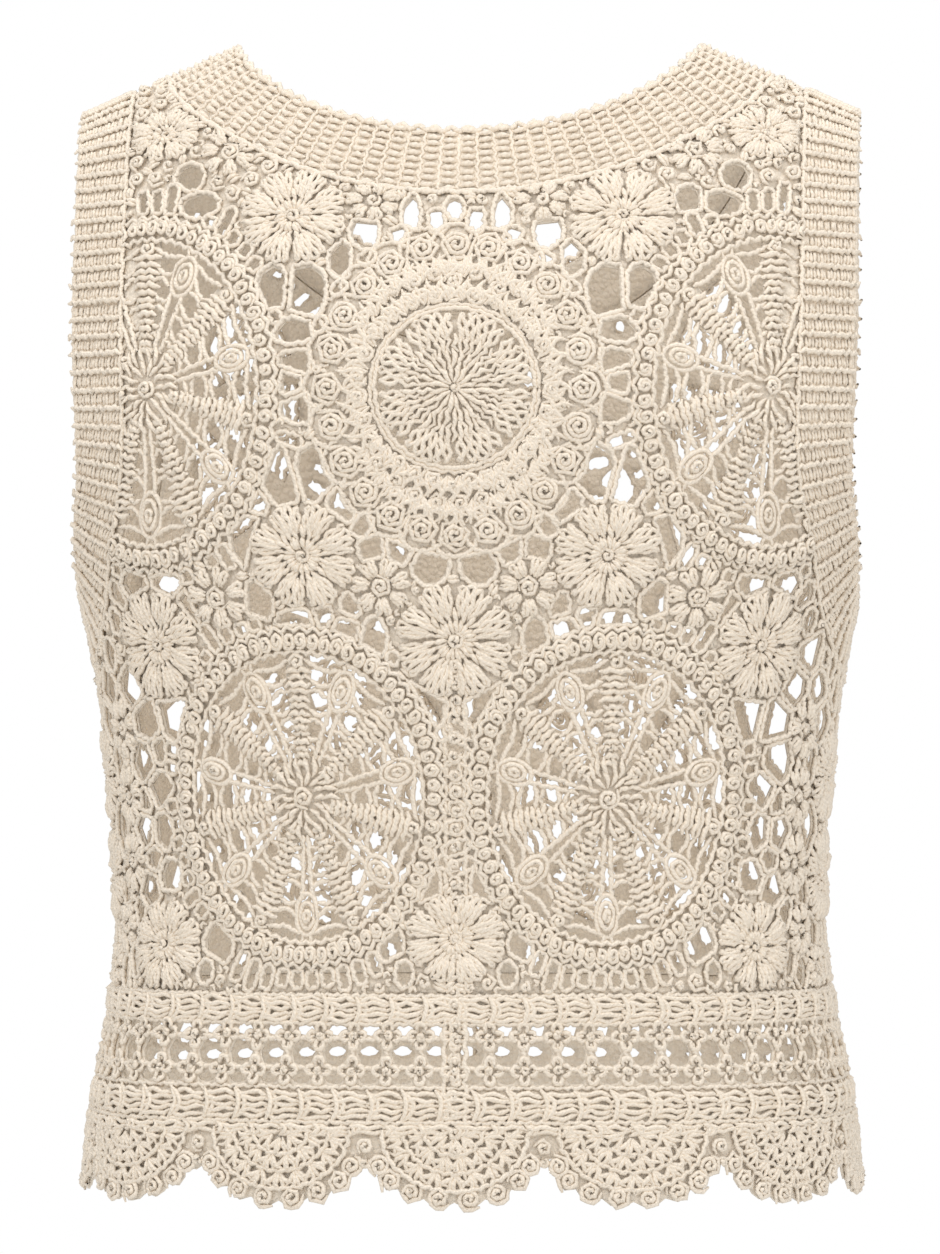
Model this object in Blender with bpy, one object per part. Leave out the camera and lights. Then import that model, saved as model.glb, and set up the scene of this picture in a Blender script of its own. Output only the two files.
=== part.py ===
"""Crocheted lace vest in the shape it has when worn, hollow, with open neck, armholes and hem.

Every piece is cut in a flat pattern: `across` runs from the centre of the back or the
front towards the side seam, and `up` is the height. A Side turns a pattern place into a
place on the worn torso. Back faces -Y, front faces +Y, and the wearer's right is +X.
Sizes are in millimetres, and make_object turns them into metres.
"""

import math
from collections import namedtuple

import bmesh
import bpy
import numpy as np
from mathutils import Vector
from mathutils.geometry import delaunay_2d_cdt

MM = 0.001
WALL = 2.6
SEAM = 0.4
COTTON = (0.80, 0.72, 0.58, 1.0)

Level = namedtuple("Level", "up half_width back_depth front_depth")
LEVELS = (
    Level(-500, 165.5, 107, 112),
    Level(-440, 159.5, 102, 108),
    Level(-406, 153, 98, 105),
    Level(-365, 149.5, 95, 103),
    Level(-320, 151.5, 97, 106),
    Level(-280, 156, 100, 109),
    Level(-240, 163, 103, 112),
    Level(-205, 175, 104.5, 113),
    Level(-165, 185, 105, 112),
    Level(-120, 189.5, 105, 110),
    Level(-60, 190, 105, 108),
    Level(40, 190, 104, 106),
)
ROUNDNESS = 2.4

NECK_HALF = 96
NECK_RISE = 20
SHOULDER_SLOPE = 0.44
SHOULDER_FULLNESS = 0.85
CREST_RADIUS = 13

UNDERARM = -240
ARMHOLE_ACROSS = 167
ARMHOLE_TURN = -150
ARMHOLE_ROUNDNESS = 2.2
BAND = 29
ARM_BAND = 27
RIB = 1.0
SCALLOPED_EDGE = 0.6

HEM_TOP = -399
MESH_MIDDLE = -423
NOTCH = -466
SCALLOP_DROP = 22
SCALLOPS = 3
ROSETTES_IN_SCALLOP = 8
ROSETTE = 5.3

SWAY = 2.0
SWAY_STARTS = -330

Motif = namedtuple("Motif", "across up half_width half_height")
WHEEL = Motif(68, -318, 63, 70.5)
HALF_WHEEL = Motif(127.5, -148, 57, 77)
BACK_MEDALLION = Motif(0, -149, 57, 68)
FRONT_MEDALLION = Motif(0, -184, 43, 45)

SHARED_FLOWERS = (
    Motif(61, -218, 21, 21),
    Motif(133.5, -255, 21, 22),
    Motif(0, -253, 24, 23),
    Motif(140, -380, 20, 18),
    Motif(0, -376, 22, 18),
    Motif(122, -30, 15, 13),
    Motif(197, -310, 17, 19),
    Motif(197, -352, 17, 19),
)
BACK_FLOWERS = SHARED_FLOWERS + (Motif(65, -75, 21, 21),)
FRONT_FLOWERS = SHARED_FLOWERS + (Motif(54, -138, 17, 17),)
SHARED_BUDS = (
    Motif(100, -235, 12, 12),
    Motif(30, -231, 11, 11),
    Motif(166, -318, 9, 12),
    Motif(166, -346, 9, 12),
    Motif(166, -290, 9, 12),
    Motif(172, -374, 8, 10),
    Motif(186, -390, 8, 8),
)
BACK_BUDS = SHARED_BUDS + (Motif(93, -42, 11, 11), Motif(33, -69, 10, 8))
FRONT_BUDS = SHARED_BUDS + (Motif(99, -61, 9, 9),)

UPPER_GAPS = (
    Motif(106, -24, 4, 6.6),
    Motif(105, -67, 5.3, 3.9),
    Motif(36, -83, 3.6, 5.8),
    Motif(97, -83, 6.9, 4.6),
    Motif(46, -93, 2.8, 9.7),
    Motif(73, -107, 4.1, 7),
    Motif(59, -108, 4.8, 8.6),
    Motif(62, -157, 5.7, 4.1),
    Motif(56, -186, 4.9, 11.5),
    Motif(70, -190, 4.6, 10.3),
    Motif(45, -196, 3.6, 7.4),
)
LOWER_GAPS = (
    Motif(83, -211, 5.1, 9.1),
    Motif(10, -221, 4.8, 5.8),
    Motif(142, -230, 6.1, 4.2),
    Motif(82, -237, 3.9, 5.8),
    Motif(115, -240, 3, 7.5),
    Motif(66, -246, 6.1, 3.7),
    Motif(89, -251, 4.1, 5.8),
    Motif(101, -258, 4.3, 6.6),
    Motif(13, -276, 6, 9.9),
    Motif(131, -284, 5.8, 9.2),
    Motif(148, -287, 7.1, 6.7),
    Motif(143, -315, 5.4, 5),
    Motif(142, -333, 4.7, 5),
    Motif(139, -351, 5.9, 4.2),
    Motif(12, -355, 3.2, 8.3),
    Motif(147, -365, 7.2, 9.2),
    Motif(128, -367, 4, 8.3),
    Motif(111, -379, 4.6, 5.8),
)

SPOKES = 7
PETALS = 8
MEDALLION_ROSETTES = 22
MOST_GAPS = 118
GAP_CORNERS = 5
LARGEST_GAP = 6.6
BAR_BETWEEN_GAPS = 3.4
NECK_RIBS = 40
FRONT_NECK_RIBS = 54
ARM_RIBS = 38
GROUND_STEP = 4.0
MESH_HOLES = 30
COTTON_ROUGHNESS = 0.9


def level_value(up, column):
    """A smooth curve through one column of LEVELS, read at the heights `up`."""
    ups = np.array([level.up for level in LEVELS], float)
    values = np.array([level[column] for level in LEVELS], float)
    slopes = np.gradient(values, ups)
    up = np.clip(up, ups[0], ups[-1])
    row = np.clip(np.searchsorted(ups, up) - 1, 0, len(ups) - 2)
    step = ups[row + 1] - ups[row]
    t = (up - ups[row]) / step
    start = values[row] * (2 * t**3 - 3 * t**2 + 1) + slopes[row] * step * (t**3 - 2 * t**2 + t)
    end = values[row + 1] * (3 * t**2 - 2 * t**3) + slopes[row + 1] * step * (t**3 - t**2)
    return start + end


def smooth_step(value):
    value = np.clip(value, 0, 1)
    return value * value * (3 - 2 * value)


def run_along(*columns):
    """The length run so far at each point of a line."""
    steps = np.sqrt(sum(np.diff(column) ** 2 for column in columns))
    return np.concatenate([[0], np.cumsum(steps)])


def shoulder_ridge(x):
    """The height of the shoulder line, where back and front meet, over each x."""
    x = np.abs(x)
    under_neck = NECK_RISE * (1 - (x / NECK_HALF) ** 2)
    return np.where(x < NECK_HALF, under_neck, -SHOULDER_SLOPE * (x - NECK_HALF))


class Side:
    """The back or the front half of the torso, which its pattern is laid on."""

    def __init__(self, sign, column, reach, power):
        self.sign = sign
        self.column = column
        self.reach = reach
        self.power = power
        self.angle = np.linspace(0, math.pi / 2, 600)
        run = self.section_run(UNDERARM)
        self.quarter = run[-1]
        self.share = run / run[-1]
        self.levels = np.arange(-500, 43, 6.0)
        self.girths = np.array([self.section_run(up)[-1] for up in self.levels])
        self.drop = reach * np.linspace(0, 1, 800) ** 3
        out = SHOULDER_FULLNESS * level_value(-100, column) * self.fullness(self.drop)
        self.cloth = run_along(self.drop, out)
        self.extra = self.cloth[-1] - self.drop[-1]

    def section_run(self, up):
        """The run round a quarter of the girth, of mean depth so that both sides match."""
        depth = (level_value(up, 2) + level_value(up, 3)) / 2
        x = level_value(up, 1) * np.sin(self.angle) ** (2 / ROUNDNESS)
        y = depth * np.cos(self.angle) ** (2 / ROUNDNESS)
        return run_along(x, y)

    def fullness(self, drop):
        """How much of the full depth the cloth has at each drop under the shoulder line."""
        drop = np.maximum(drop, 0)
        body = np.sin(math.pi / 2 * np.minimum(drop / self.reach, 1) ** self.power)
        crest = np.sqrt(2 * CREST_RADIUS * drop) * np.exp(-drop / (2 * CREST_RADIUS))
        return body + crest / level_value(-100, self.column)

    def girth(self, up):
        """The pattern's half width at each height: above the armhole, across stays true."""
        ramp = smooth_step((up - UNDERARM) / 60)
        return self.quarter + (np.interp(up, self.levels, self.girths) - self.quarter) * ramp

    def section(self, across, up):
        angle = np.interp(np.abs(across) / self.girth(up), self.share, self.angle)
        x = np.sign(across) * level_value(up, 1) * np.sin(angle) ** (2 / ROUNDNESS)
        depth = level_value(up, self.column) * np.cos(angle) ** (2 / ROUNDNESS)
        return x, depth

    def shoulder(self, across):
        """The height in the pattern at which a column reaches the shoulder line."""
        x, _ = self.section(across, np.zeros_like(across))
        return shoulder_ridge(x) + self.extra

    def sway(self, across, up):
        """The soft folds below the waist, the same on both sides of a side seam."""
        turn = across / self.quarter * math.pi / 2
        if self.sign > 0:
            turn = np.where(across < 0, -math.pi, math.pi) - turn
        wave = 0.6 * np.cos(7 * turn + 0.7) + 0.4 * np.cos(11 * turn - 1.2)
        return SWAY * wave * smooth_step((SWAY_STARTS - up) / 110)

    def surface(self, across, up):
        x, depth = self.section(across, up)
        below = np.maximum(shoulder_ridge(x) + self.extra - up, 0)
        drop = np.where(
            below < self.cloth[-1],
            np.interp(below, self.cloth, self.drop),
            below - self.extra,
        )
        y = self.sign * depth * self.fullness(drop)
        grow = 1 + self.sway(across, up) / 130
        return np.stack([x * grow, y * grow, shoulder_ridge(x) - drop], -1)

    def place(self, across, up, out):
        """Points at the pattern places, `out` beyond the cloth's face."""
        across, up = np.broadcast_arrays(np.asarray(across, float), np.asarray(up, float))
        near = 0.4
        along = self.surface(across + near, up) - self.surface(across - near, up)
        rise = self.surface(across, up + near) - self.surface(across, up - near)
        normal = -self.sign * np.cross(along, rise)
        normal /= np.linalg.norm(normal, axis=-1, keepdims=True)
        return self.surface(across, up) + normal * np.asarray(out, float)[..., None]


def even_stations(line, count):
    """count + 1 shares of a dense line, evenly spaced along it."""
    run = run_along(line[:, 0], line[:, 1])
    return np.interp(np.linspace(0, run[-1], count + 1), run, np.linspace(0, 1, len(line)))


class NeckEdge:
    """The neckline of one side: half an ellipse from shoulder to shoulder."""

    def __init__(self, side, low):
        self.side = side
        self.half = NECK_HALF - 1
        self.top = float(side.shoulder(np.array(self.half, float)))
        self.depth = self.top - low

    def line(self, share, offset):
        turn = math.pi * np.asarray(share, float)
        normal = np.stack([np.cos(turn) / self.half, -np.sin(turn) / self.depth], -1)
        normal /= np.linalg.norm(normal, axis=-1, keepdims=True)
        across = self.half * np.cos(turn) + offset * normal[..., 0]
        up = self.top - self.depth * np.sin(turn) + offset * normal[..., 1]
        reach = self.half + offset
        fall = self.side.shoulder(np.zeros_like(across) + reach) - self.top
        near_end = smooth_step(1 - np.minimum(share, 1 - share) / 0.25)
        return np.stack([across, up + fall * near_end], -1)

    def stations(self, count, offset):
        shares = even_stations(self.line(np.linspace(0, 1, 400), BAND / 2), count)
        return self.line(shares, offset)


class ArmEdge:
    """The armhole of one side, from the shoulder line down to the side seam."""

    def __init__(self, side):
        self.side = side
        top = float(side.shoulder(np.array(ARMHOLE_ACROSS, float)))
        turn = np.linspace(0, math.pi / 2, 300)
        power = 2 / ARMHOLE_ROUNDNESS
        wide = side.quarter - ARMHOLE_ACROSS
        bend_across = side.quarter - wide * np.cos(turn) ** power
        bend_up = ARMHOLE_TURN - (ARMHOLE_TURN - UNDERARM) * np.sin(turn) ** power
        straight = np.linspace(top, ARMHOLE_TURN, 200, endpoint=False)
        across = np.concatenate([np.full(200, float(ARMHOLE_ACROSS)), bend_across])
        up = np.concatenate([straight, bend_up])
        run = run_along(across, up)
        even = np.linspace(0, run[-1], 400)
        self.across = np.interp(even, run, across)
        self.up = np.interp(even, run, up)
        along = np.gradient(self.across)
        rise = np.gradient(self.up)
        length = np.hypot(along, rise)
        self.normal = np.stack([rise / length, -along / length], -1)

    def line(self, share, offset):
        dense = np.linspace(0, 1, len(self.across))
        across = self.across + offset * self.normal[:, 0]
        up = self.up + offset * self.normal[:, 1]
        at_top = smooth_step(1 - dense / 0.2)
        at_seam = smooth_step((dense - 0.9) / 0.1)
        up = up + at_top * (self.side.shoulder(across[:1]) - up[0])
        across = across + at_seam * (self.side.quarter - across[-1])
        return np.stack([np.interp(share, dense, across), np.interp(share, dense, up)], -1)

    def stations(self, count, offset):
        shares = even_stations(self.line(np.linspace(0, 1, 400), ARM_BAND / 2), count)
        return self.line(shares, offset)


def inside(polygon, points):
    """Which points lie inside a polygon, by counting the edges to their right."""
    start = polygon[:, None]
    end = np.roll(polygon, -1, axis=0)[:, None]
    crosses = (start[..., 1] > points[:, 1]) != (end[..., 1] > points[:, 1])
    height = end[..., 1] - start[..., 1]
    height = np.where(height == 0, 1, height)
    at = start[..., 0] + (points[:, 1] - start[..., 1]) * (end[..., 0] - start[..., 0]) / height
    return (crosses & (points[:, 0] < at)).sum(axis=0) % 2 == 1


def edge_distance(polygon, points):
    """Each point's distance to the nearest edge of a polygon."""
    start = polygon[:, None]
    edge = np.roll(polygon, -1, axis=0)[:, None] - start
    share = ((points - start) * edge).sum(-1) / np.maximum((edge**2).sum(-1), 1e-9)
    nearest = start + np.clip(share, 0, 1)[..., None] * edge
    return np.linalg.norm(points - nearest, axis=-1).min(axis=0)


def around(motif, shares, radius):
    """Places round a motif at shares of a turn, `radius` times its half sizes out."""
    turn = 2 * math.pi * np.asarray(shares, float)
    across = motif.across + motif.half_width * radius * np.cos(turn)
    up = motif.up + motif.half_height * radius * np.sin(turn)
    return np.stack([across, up], -1)


def motif_distance(motif, points):
    """Roughly how far points lie outside a motif's ellipse."""
    offset = points - np.array([motif.across, motif.up])
    ratio = np.hypot(offset[:, 0] / motif.half_width, offset[:, 1] / motif.half_height)
    return (ratio - 1) * np.hypot(offset[:, 0], offset[:, 1]) / np.maximum(ratio, 1e-6)


class Net:
    """A flat pattern piece: an outline, gaps cut through it and places raised on its face."""

    def __init__(self, outline):
        self.outline = np.asarray(outline, float)
        self.gaps = []
        self.raised = []
        self.motifs = []

    def clear_of_outline(self, points, distance):
        return inside(self.outline, points) & (edge_distance(self.outline, points) > distance)

    def cut(self, corners):
        if self.clear_of_outline(corners, 2.5).all():
            self.gaps.append(corners)

    def raise_places(self, places, height):
        heights = np.broadcast_to(height, len(places))
        self.raised.extend((across, up, h) for (across, up), h in zip(places, heights))

    def wheel(self, motif):
        """A ring, seven solid spokes, and a gap on each side of every spoke."""
        self.motifs.append(motif)
        first = 0.25 + 0.25 / SPOKES
        for index in range(2 * SPOKES):
            middle = first + index / (2 * SPOKES)
            shares = middle + np.array([-0.014, 0.014, 0.02, 0, -0.02])
            radii = np.array([0.5, 0.5, 0.8, 0.84, 0.8])
            self.cut(around(motif, shares, radii))
        rim = np.arange(24) / 24
        self.raise_places(around(motif, rim, 0.93), 1.5)
        spokes = 0.25 + np.arange(SPOKES) / SPOKES
        self.raise_places(around(motif, spokes, 0.55), 1.0)
        self.raise_places(around(motif, [0], 0), 0.8)

    def flower(self, motif):
        """Eight raised petals round a lower heart."""
        self.motifs.append(motif)
        petals = (np.arange(PETALS) + 0.5) / PETALS
        self.raise_places(around(motif, [0], 0), 0.6)
        self.raise_places(around(motif, petals, 0.66), 1.4)
        self.raise_places(around(motif, petals + 0.5 / PETALS, 0.78), 0.0)

    def bud(self, motif):
        self.motifs.append(motif)
        self.raise_places(around(motif, [0], 0), 1.4)
        self.raise_places(around(motif, np.arange(5) / 5, 0.9), 0.2)

    def medallion(self, motif):
        """A disc of eight thick petals, a ring of small gaps and a ring of rosettes."""
        self.motifs.append(motif)
        petals = (np.arange(PETALS) + 0.5) / PETALS
        self.raise_places(around(motif, [0], 0), 0.4)
        self.raise_places(around(motif, petals, 0.36), 1.4)
        for share in petals + 0.5 / PETALS:
            shares = share + np.array([-0.02, 0.02, 0.016, -0.016])
            self.cut(around(motif, shares, np.array([0.54, 0.54, 0.66, 0.66])))
        rosettes = np.arange(MEDALLION_ROSETTES) / MEDALLION_ROSETTES
        self.raise_places(around(motif, rosettes, 0.88), 1.5)

    def ground(self, named_gaps, bare):
        """Gaps of the chain ground: the named ones, then what fits between, largest first."""
        shares = (np.arange(GAP_CORNERS) + 0.25) / GAP_CORNERS
        for gap in named_gaps:
            self.cut(around(gap, shares, 1.1))
        low = self.outline.min(axis=0)
        high = self.outline.max(axis=0)
        rows = np.arange(low[1], high[1], GROUND_STEP)
        middle = np.arange(GROUND_STEP / 2, high[0], GROUND_STEP)
        columns = np.concatenate([-middle[::-1], middle])
        places = np.array([(across, up) for up in rows for across in columns])
        room = edge_distance(self.outline, places) - BAR_BETWEEN_GAPS
        room[~inside(self.outline, places)] = 0
        for motif in self.motifs:
            room = np.minimum(room, motif_distance(motif, places) - 1.0)
        for corners in self.gaps:
            room = np.minimum(room, edge_distance(corners, places) - BAR_BETWEEN_GAPS)
        room = np.minimum(room, np.where(bare(places), 0, LARGEST_GAP))
        while len(self.gaps) < MOST_GAPS:
            best = int(np.argmax(np.round(room, 3)))
            radius = room[best]
            self.gaps.append(around(Motif(*places[best], radius, radius), shares, 1.0))
            apart = np.linalg.norm(places - places[best], axis=1)
            room = np.minimum(room, apart - radius - BAR_BETWEEN_GAPS)

    def chosen_places(self):
        """The raised places that keep clear of every edge and of each other."""
        chosen = []
        for across, up, height in self.raised:
            spot = np.array([[across, up]])
            if not self.clear_of_outline(spot, 2.0).all():
                continue
            if any(inside(c, spot)[0] or edge_distance(c, spot)[0] < 1.2 for c in self.gaps):
                continue
            if all(math.hypot(across - a, up - u) > 2.6 for a, u, _ in chosen):
                chosen.append((across, up, height))
        return chosen

    def triangulated(self):
        """Places, their raised heights, and the triangles that leave the gaps open."""
        loops = [self.outline] + self.gaps
        chosen = self.chosen_places()
        corners = [Vector(point) for loop in loops for point in loop]
        edges = []
        start = 0
        for loop in loops:
            count = len(loop)
            edges += [(start + i, start + (i + 1) % count) for i in range(count)]
            start += count
        heights = [0.0] * len(corners) + [height for _, _, height in chosen]
        corners += [Vector((across, up)) for across, up, _ in chosen]
        verts, _, faces, sources, _, _ = delaunay_2d_cdt(corners, edges, [], 0, 1e-5)
        places = np.array([tuple(v) for v in verts])
        raised = np.array([heights[source[0]] if source else 0.0 for source in sources])
        faces = np.array([tuple(face) for face in faces])
        centres = places[faces].mean(axis=1)
        keep = inside(self.outline, centres)
        for gap in self.gaps:
            keep &= ~inside(gap, centres)
        return places, raised, faces[keep]


def wall_of(side, net):
    """A net as a wall on its side of the torso: raised face, plain inside and rims."""
    places, raised, faces = net.triangulated()
    face = side.place(places[:, 0], places[:, 1], raised)
    back = side.place(places[:, 0], places[:, 1], np.full(len(places), -WALL))
    count = len(places)
    directed = {(int(f[i]), int(f[(i + 1) % 3])) for f in faces for i in range(3)}
    rims = [(b, a, a + count, b + count) for a, b in sorted(directed) if (b, a) not in directed]
    polygons = [tuple(int(i) for i in f) for f in faces]
    polygons += [tuple(int(i) + count for i in f[::-1]) for f in faces]
    return np.concatenate([face, back]), polygons + rims


def ribbed_ring(halves, width):
    """A closed ribbed band. Each half is (side, edge, ribs, mirror, reverse), end to end."""
    rows = {"free": [], "sewn": [], "free_in": [], "sewn_in": []}
    for side, edge, ribs, mirror, reverse in halves:
        crest = (np.arange(2 * ribs + 1) % 2 == 0).astype(float)
        lip = SCALLOPED_EDGE * (1 - 2 * crest)
        lines = {
            "free": (edge.stations(2 * ribs, 0) + edge_shift(edge, 2 * ribs, lip), crest * RIB),
            "sewn": (edge.stations(2 * ribs, width), crest * RIB),
            "free_in": (edge.stations(2 * ribs, 0), np.full(2 * ribs + 1, -WALL)),
            "sewn_in": (edge.stations(2 * ribs, width), np.full(2 * ribs + 1, -WALL)),
        }
        for name, (line, out) in lines.items():
            points = side.place(line[:, 0], line[:, 1], out)
            points[:, 0] *= mirror
            rows[name].append(points[::-1] if reverse else points)
    closed = {name: joined(*parts) for name, parts in rows.items()}
    return ring_faces(closed)


def edge_shift(edge, count, lip):
    """Moves the free edge's stations out by `lip`, which gives its small bumps."""
    step = edge.stations(count, 1) - edge.stations(count, 0)
    return step * lip[:, None]


def joined(first, second):
    """Two half rows as one closed row, with the places that they share made one."""
    row = np.concatenate([first[:-1], second[:-1]])
    row[0] = (first[0] + second[-1]) / 2
    row[len(first) - 1] = (first[-1] + second[0]) / 2
    return row


def ring_faces(rows):
    """The faces of a ribbed ring, whose plain inside has half as many places as its face."""
    count = len(rows["free"])
    inner = count // 2
    points = np.concatenate(
        [rows["free"], rows["sewn"], rows["free_in"][::2], rows["sewn_in"][::2]]
    )
    polygons = []
    for i in range(count):
        j = (i + 1) % count
        polygons.append((i, j, count + j, count + i))
    for k in range(inner):
        a, b, c = 2 * k, 2 * k + 1, (2 * k + 2) % count
        free, free_next = 2 * count + k, 2 * count + (k + 1) % inner
        sewn, sewn_next = free + inner, free_next + inner
        polygons.append((free, sewn, sewn_next, free_next))
        polygons.append((free, free_next, c, b, a))
        polygons.append((sewn_next, sewn, count + a, count + b, count + c))
    return points, polygons


def lace_outline(side, neck, arm, neck_ribs):
    """The lace panel: under the neckband, round the armbands, down the side seams."""
    inset = SEAM / 2
    top = neck.stations(neck_ribs, BAND + SEAM)
    right = arm.stations(ARM_RIBS, ARM_BAND + SEAM)
    shoulder = np.linspace(top[0, 0], right[0, 0], 4)[1:-1]
    ridge = np.stack([shoulder, side.shoulder(shoulder)], -1)
    seam_up = np.linspace(right[-1, 1], HEM_TOP + inset, 11)[1:]
    seam = np.stack([np.full(10, side.quarter), seam_up], -1)
    half = np.concatenate([ridge, right, seam])
    half[:, 0] = np.minimum(half[:, 0], side.quarter - inset)
    bottom = np.linspace(half[-1, 0], -half[-1, 0], 30)[1:-1]
    foot = np.stack([bottom, np.full(28, HEM_TOP + inset)], -1)
    outline = np.concatenate([half, foot, half[::-1] * (-1, 1), top[::-1]])
    outline[:, 1] = np.minimum(outline[:, 1], side.shoulder(outline[:, 0]) - inset)
    return outline


def lace_net(outline, medallion, flowers, buds, gaps):
    """One lace panel, with each motif and gap on both sides of the middle line."""
    net = Net(outline)
    net.medallion(medallion)
    for mirror in (-1, 1):
        for wheel in (WHEEL, HALF_WHEEL):
            net.wheel(wheel._replace(across=wheel.across * mirror))
        for flower in flowers:
            if flower.across or mirror > 0:
                net.flower(flower._replace(across=flower.across * mirror))
        for bud in buds:
            net.bud(bud._replace(across=bud.across * mirror))
    spine_top = UNDERARM - 35

    def on_spine(places):
        return (np.abs(places[:, 0]) < 5) & (places[:, 1] < spine_top)

    spine = np.arange(spine_top, HEM_TOP, -9.0)
    net.raise_places(np.stack([np.zeros(len(spine)), spine], -1), 1.2)
    net.ground([gap._replace(across=gap.across * m) for gap in gaps for m in (-1, 1)], on_spine)
    return net


def scallop_place(centre, half_width, share, out):
    """A place on one scallop's arc, for shares -1 to 1 of it, `out` beyond the rosettes' middles."""
    lean = math.pi / 2 * share
    across = centre + (half_width - ROSETTE + out) * math.sin(lean)
    return across, NOTCH - (SCALLOP_DROP - ROSETTE + out) * math.cos(lean)


def rosette_edge(centre, half_width, share, step):
    """The dip before one rosette of the hem, and two places on its round foot."""
    middle = scallop_place(centre, half_width, share, 0)
    lean = math.pi / 2 * share
    edge = [scallop_place(centre, half_width, share - step / 2, ROSETTE - 4)]
    for spread in (-0.55, 0.55):
        turn = lean + spread
        edge.append((middle[0] + ROSETTE * math.sin(turn), middle[1] - ROSETTE * math.cos(turn)))
    return edge


def hem_net(side):
    """The hem of one side: two close bands round an open mesh, over rosette scallops."""
    inset = SEAM / 2
    half = side.quarter
    pitch = half / SCALLOPS
    edge = half - inset
    top = [(across, HEM_TOP - inset) for across in np.linspace(-edge, edge, 31)]
    right_seam = [(edge, up) for up in (-414, MESH_MIDDLE - 8, -446, NOTCH)]
    step = 2 / ROSETTES_IN_SCALLOP
    shares = [-1 + step * (i + 0.5) for i in range(ROSETTES_IN_SCALLOP)]
    foot = []
    rosettes = []
    for index in range(-SCALLOPS, SCALLOPS + 1):
        centre = index * pitch
        for share in shares:
            middle = scallop_place(centre, pitch / 2, share, 0)
            if abs(middle[0]) < edge - 2:
                foot += rosette_edge(centre, pitch / 2, share, step)
                rosettes.append(middle)
    tip = NOTCH - SCALLOP_DROP + 4
    foot = [(-edge, tip), *foot[1:], (edge, tip)]
    left_seam = [(-across, up) for across, up in right_seam[::-1]]
    outline = np.array(top + right_seam + foot[::-1] + left_seam)
    net = Net(outline)
    width = 2 * half / MESH_HOLES
    for index in range(MESH_HOLES):
        centre = -half + (index + 0.5) * width
        hexagon = Motif(centre, MESH_MIDDLE, 4.3, 5.0)
        net.cut(around(hexagon, np.arange(6) / 6, 1.0))
    columns = -half + np.arange(1, MESH_HOLES) * width
    for up in (-405.5, -441):
        net.raise_places(np.stack([columns, np.full(MESH_HOLES - 1, float(up))], -1), 1.3)
    net.raise_places(np.array(rosettes), 1.5)
    return net


def cotton():
    material = bpy.data.materials.new("cotton")
    material.use_nodes = True
    shader = material.node_tree.nodes["Principled BSDF"]
    shader.inputs["Base Color"].default_value = COTTON
    shader.inputs["Roughness"].default_value = COTTON_ROUGHNESS
    shader.inputs["Metallic"].default_value = 0.0
    return material


def make_object(name, points, polygons, material):
    mesh = bpy.data.meshes.new(name)
    mesh.from_pydata((points * MM).tolist(), [], polygons)
    shape = bmesh.new()
    shape.from_mesh(mesh)
    bmesh.ops.triangulate(shape, faces=shape.faces[:])
    bmesh.ops.recalc_face_normals(shape, faces=shape.faces[:])
    shape.to_mesh(mesh)
    shape.free()
    mesh.materials.append(material)
    made = bpy.data.objects.new(name, mesh)
    bpy.context.scene.collection.objects.link(made)
    return made


def main():
    for old in list(bpy.data.objects):
        bpy.data.objects.remove(old, do_unlink=True)
    material = cotton()
    back = Side(-1, 2, 170, 0.8)
    front = Side(1, 3, 200, 0.85)
    back_neck = NeckEdge(back, low=-36)
    front_neck = NeckEdge(front, low=-95)
    back_arm = ArmEdge(back)
    front_arm = ArmEdge(front)

    outline = lace_outline(back, back_neck, back_arm, NECK_RIBS)
    back_gaps = UPPER_GAPS + LOWER_GAPS
    back_net = lace_net(outline, BACK_MEDALLION, BACK_FLOWERS, BACK_BUDS, back_gaps)
    make_object("back_lace", *wall_of(back, back_net), material)
    outline = lace_outline(front, front_neck, front_arm, FRONT_NECK_RIBS)
    front_net = lace_net(outline, FRONT_MEDALLION, FRONT_FLOWERS, FRONT_BUDS, LOWER_GAPS)
    make_object("front_lace", *wall_of(front, front_net), material)
    make_object("hem_back", *wall_of(back, hem_net(back)), material)
    make_object("hem_front", *wall_of(front, hem_net(front)), material)

    neck_halves = (
        (back, back_neck, NECK_RIBS, 1, False),
        (front, front_neck, FRONT_NECK_RIBS, 1, True),
    )
    make_object("neckband", *ribbed_ring(neck_halves, BAND), material)
    for name, mirror in (("armband_right", 1), ("armband_left", -1)):
        arm_halves = (
            (back, back_arm, ARM_RIBS, mirror, False),
            (front, front_arm, ARM_RIBS, mirror, True),
        )
        make_object(name, *ribbed_ring(arm_halves, ARM_BAND), material)


main()
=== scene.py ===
"""Dresses the crocheted lace vest: every strand of yarn, its cotton, and the studio round it.

The lace is drawn in flat patterns, one for the back and one for the front. `across` runs
from the centre of a side towards its side seam and `up` is the height, both in millimetres.
A Side turns a pattern place into a place on the worn torso. Back faces -Y, front faces +Y,
and the wearer's right is +X.
"""

from __future__ import annotations

import logging
import math
from dataclasses import dataclass, field, replace
from enum import Enum
from functools import partial
from typing import Callable, Iterable, Iterator, Sequence

import bpy
import numpy as np
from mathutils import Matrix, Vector
from mathutils.geometry import delaunay_2d_cdt

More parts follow.
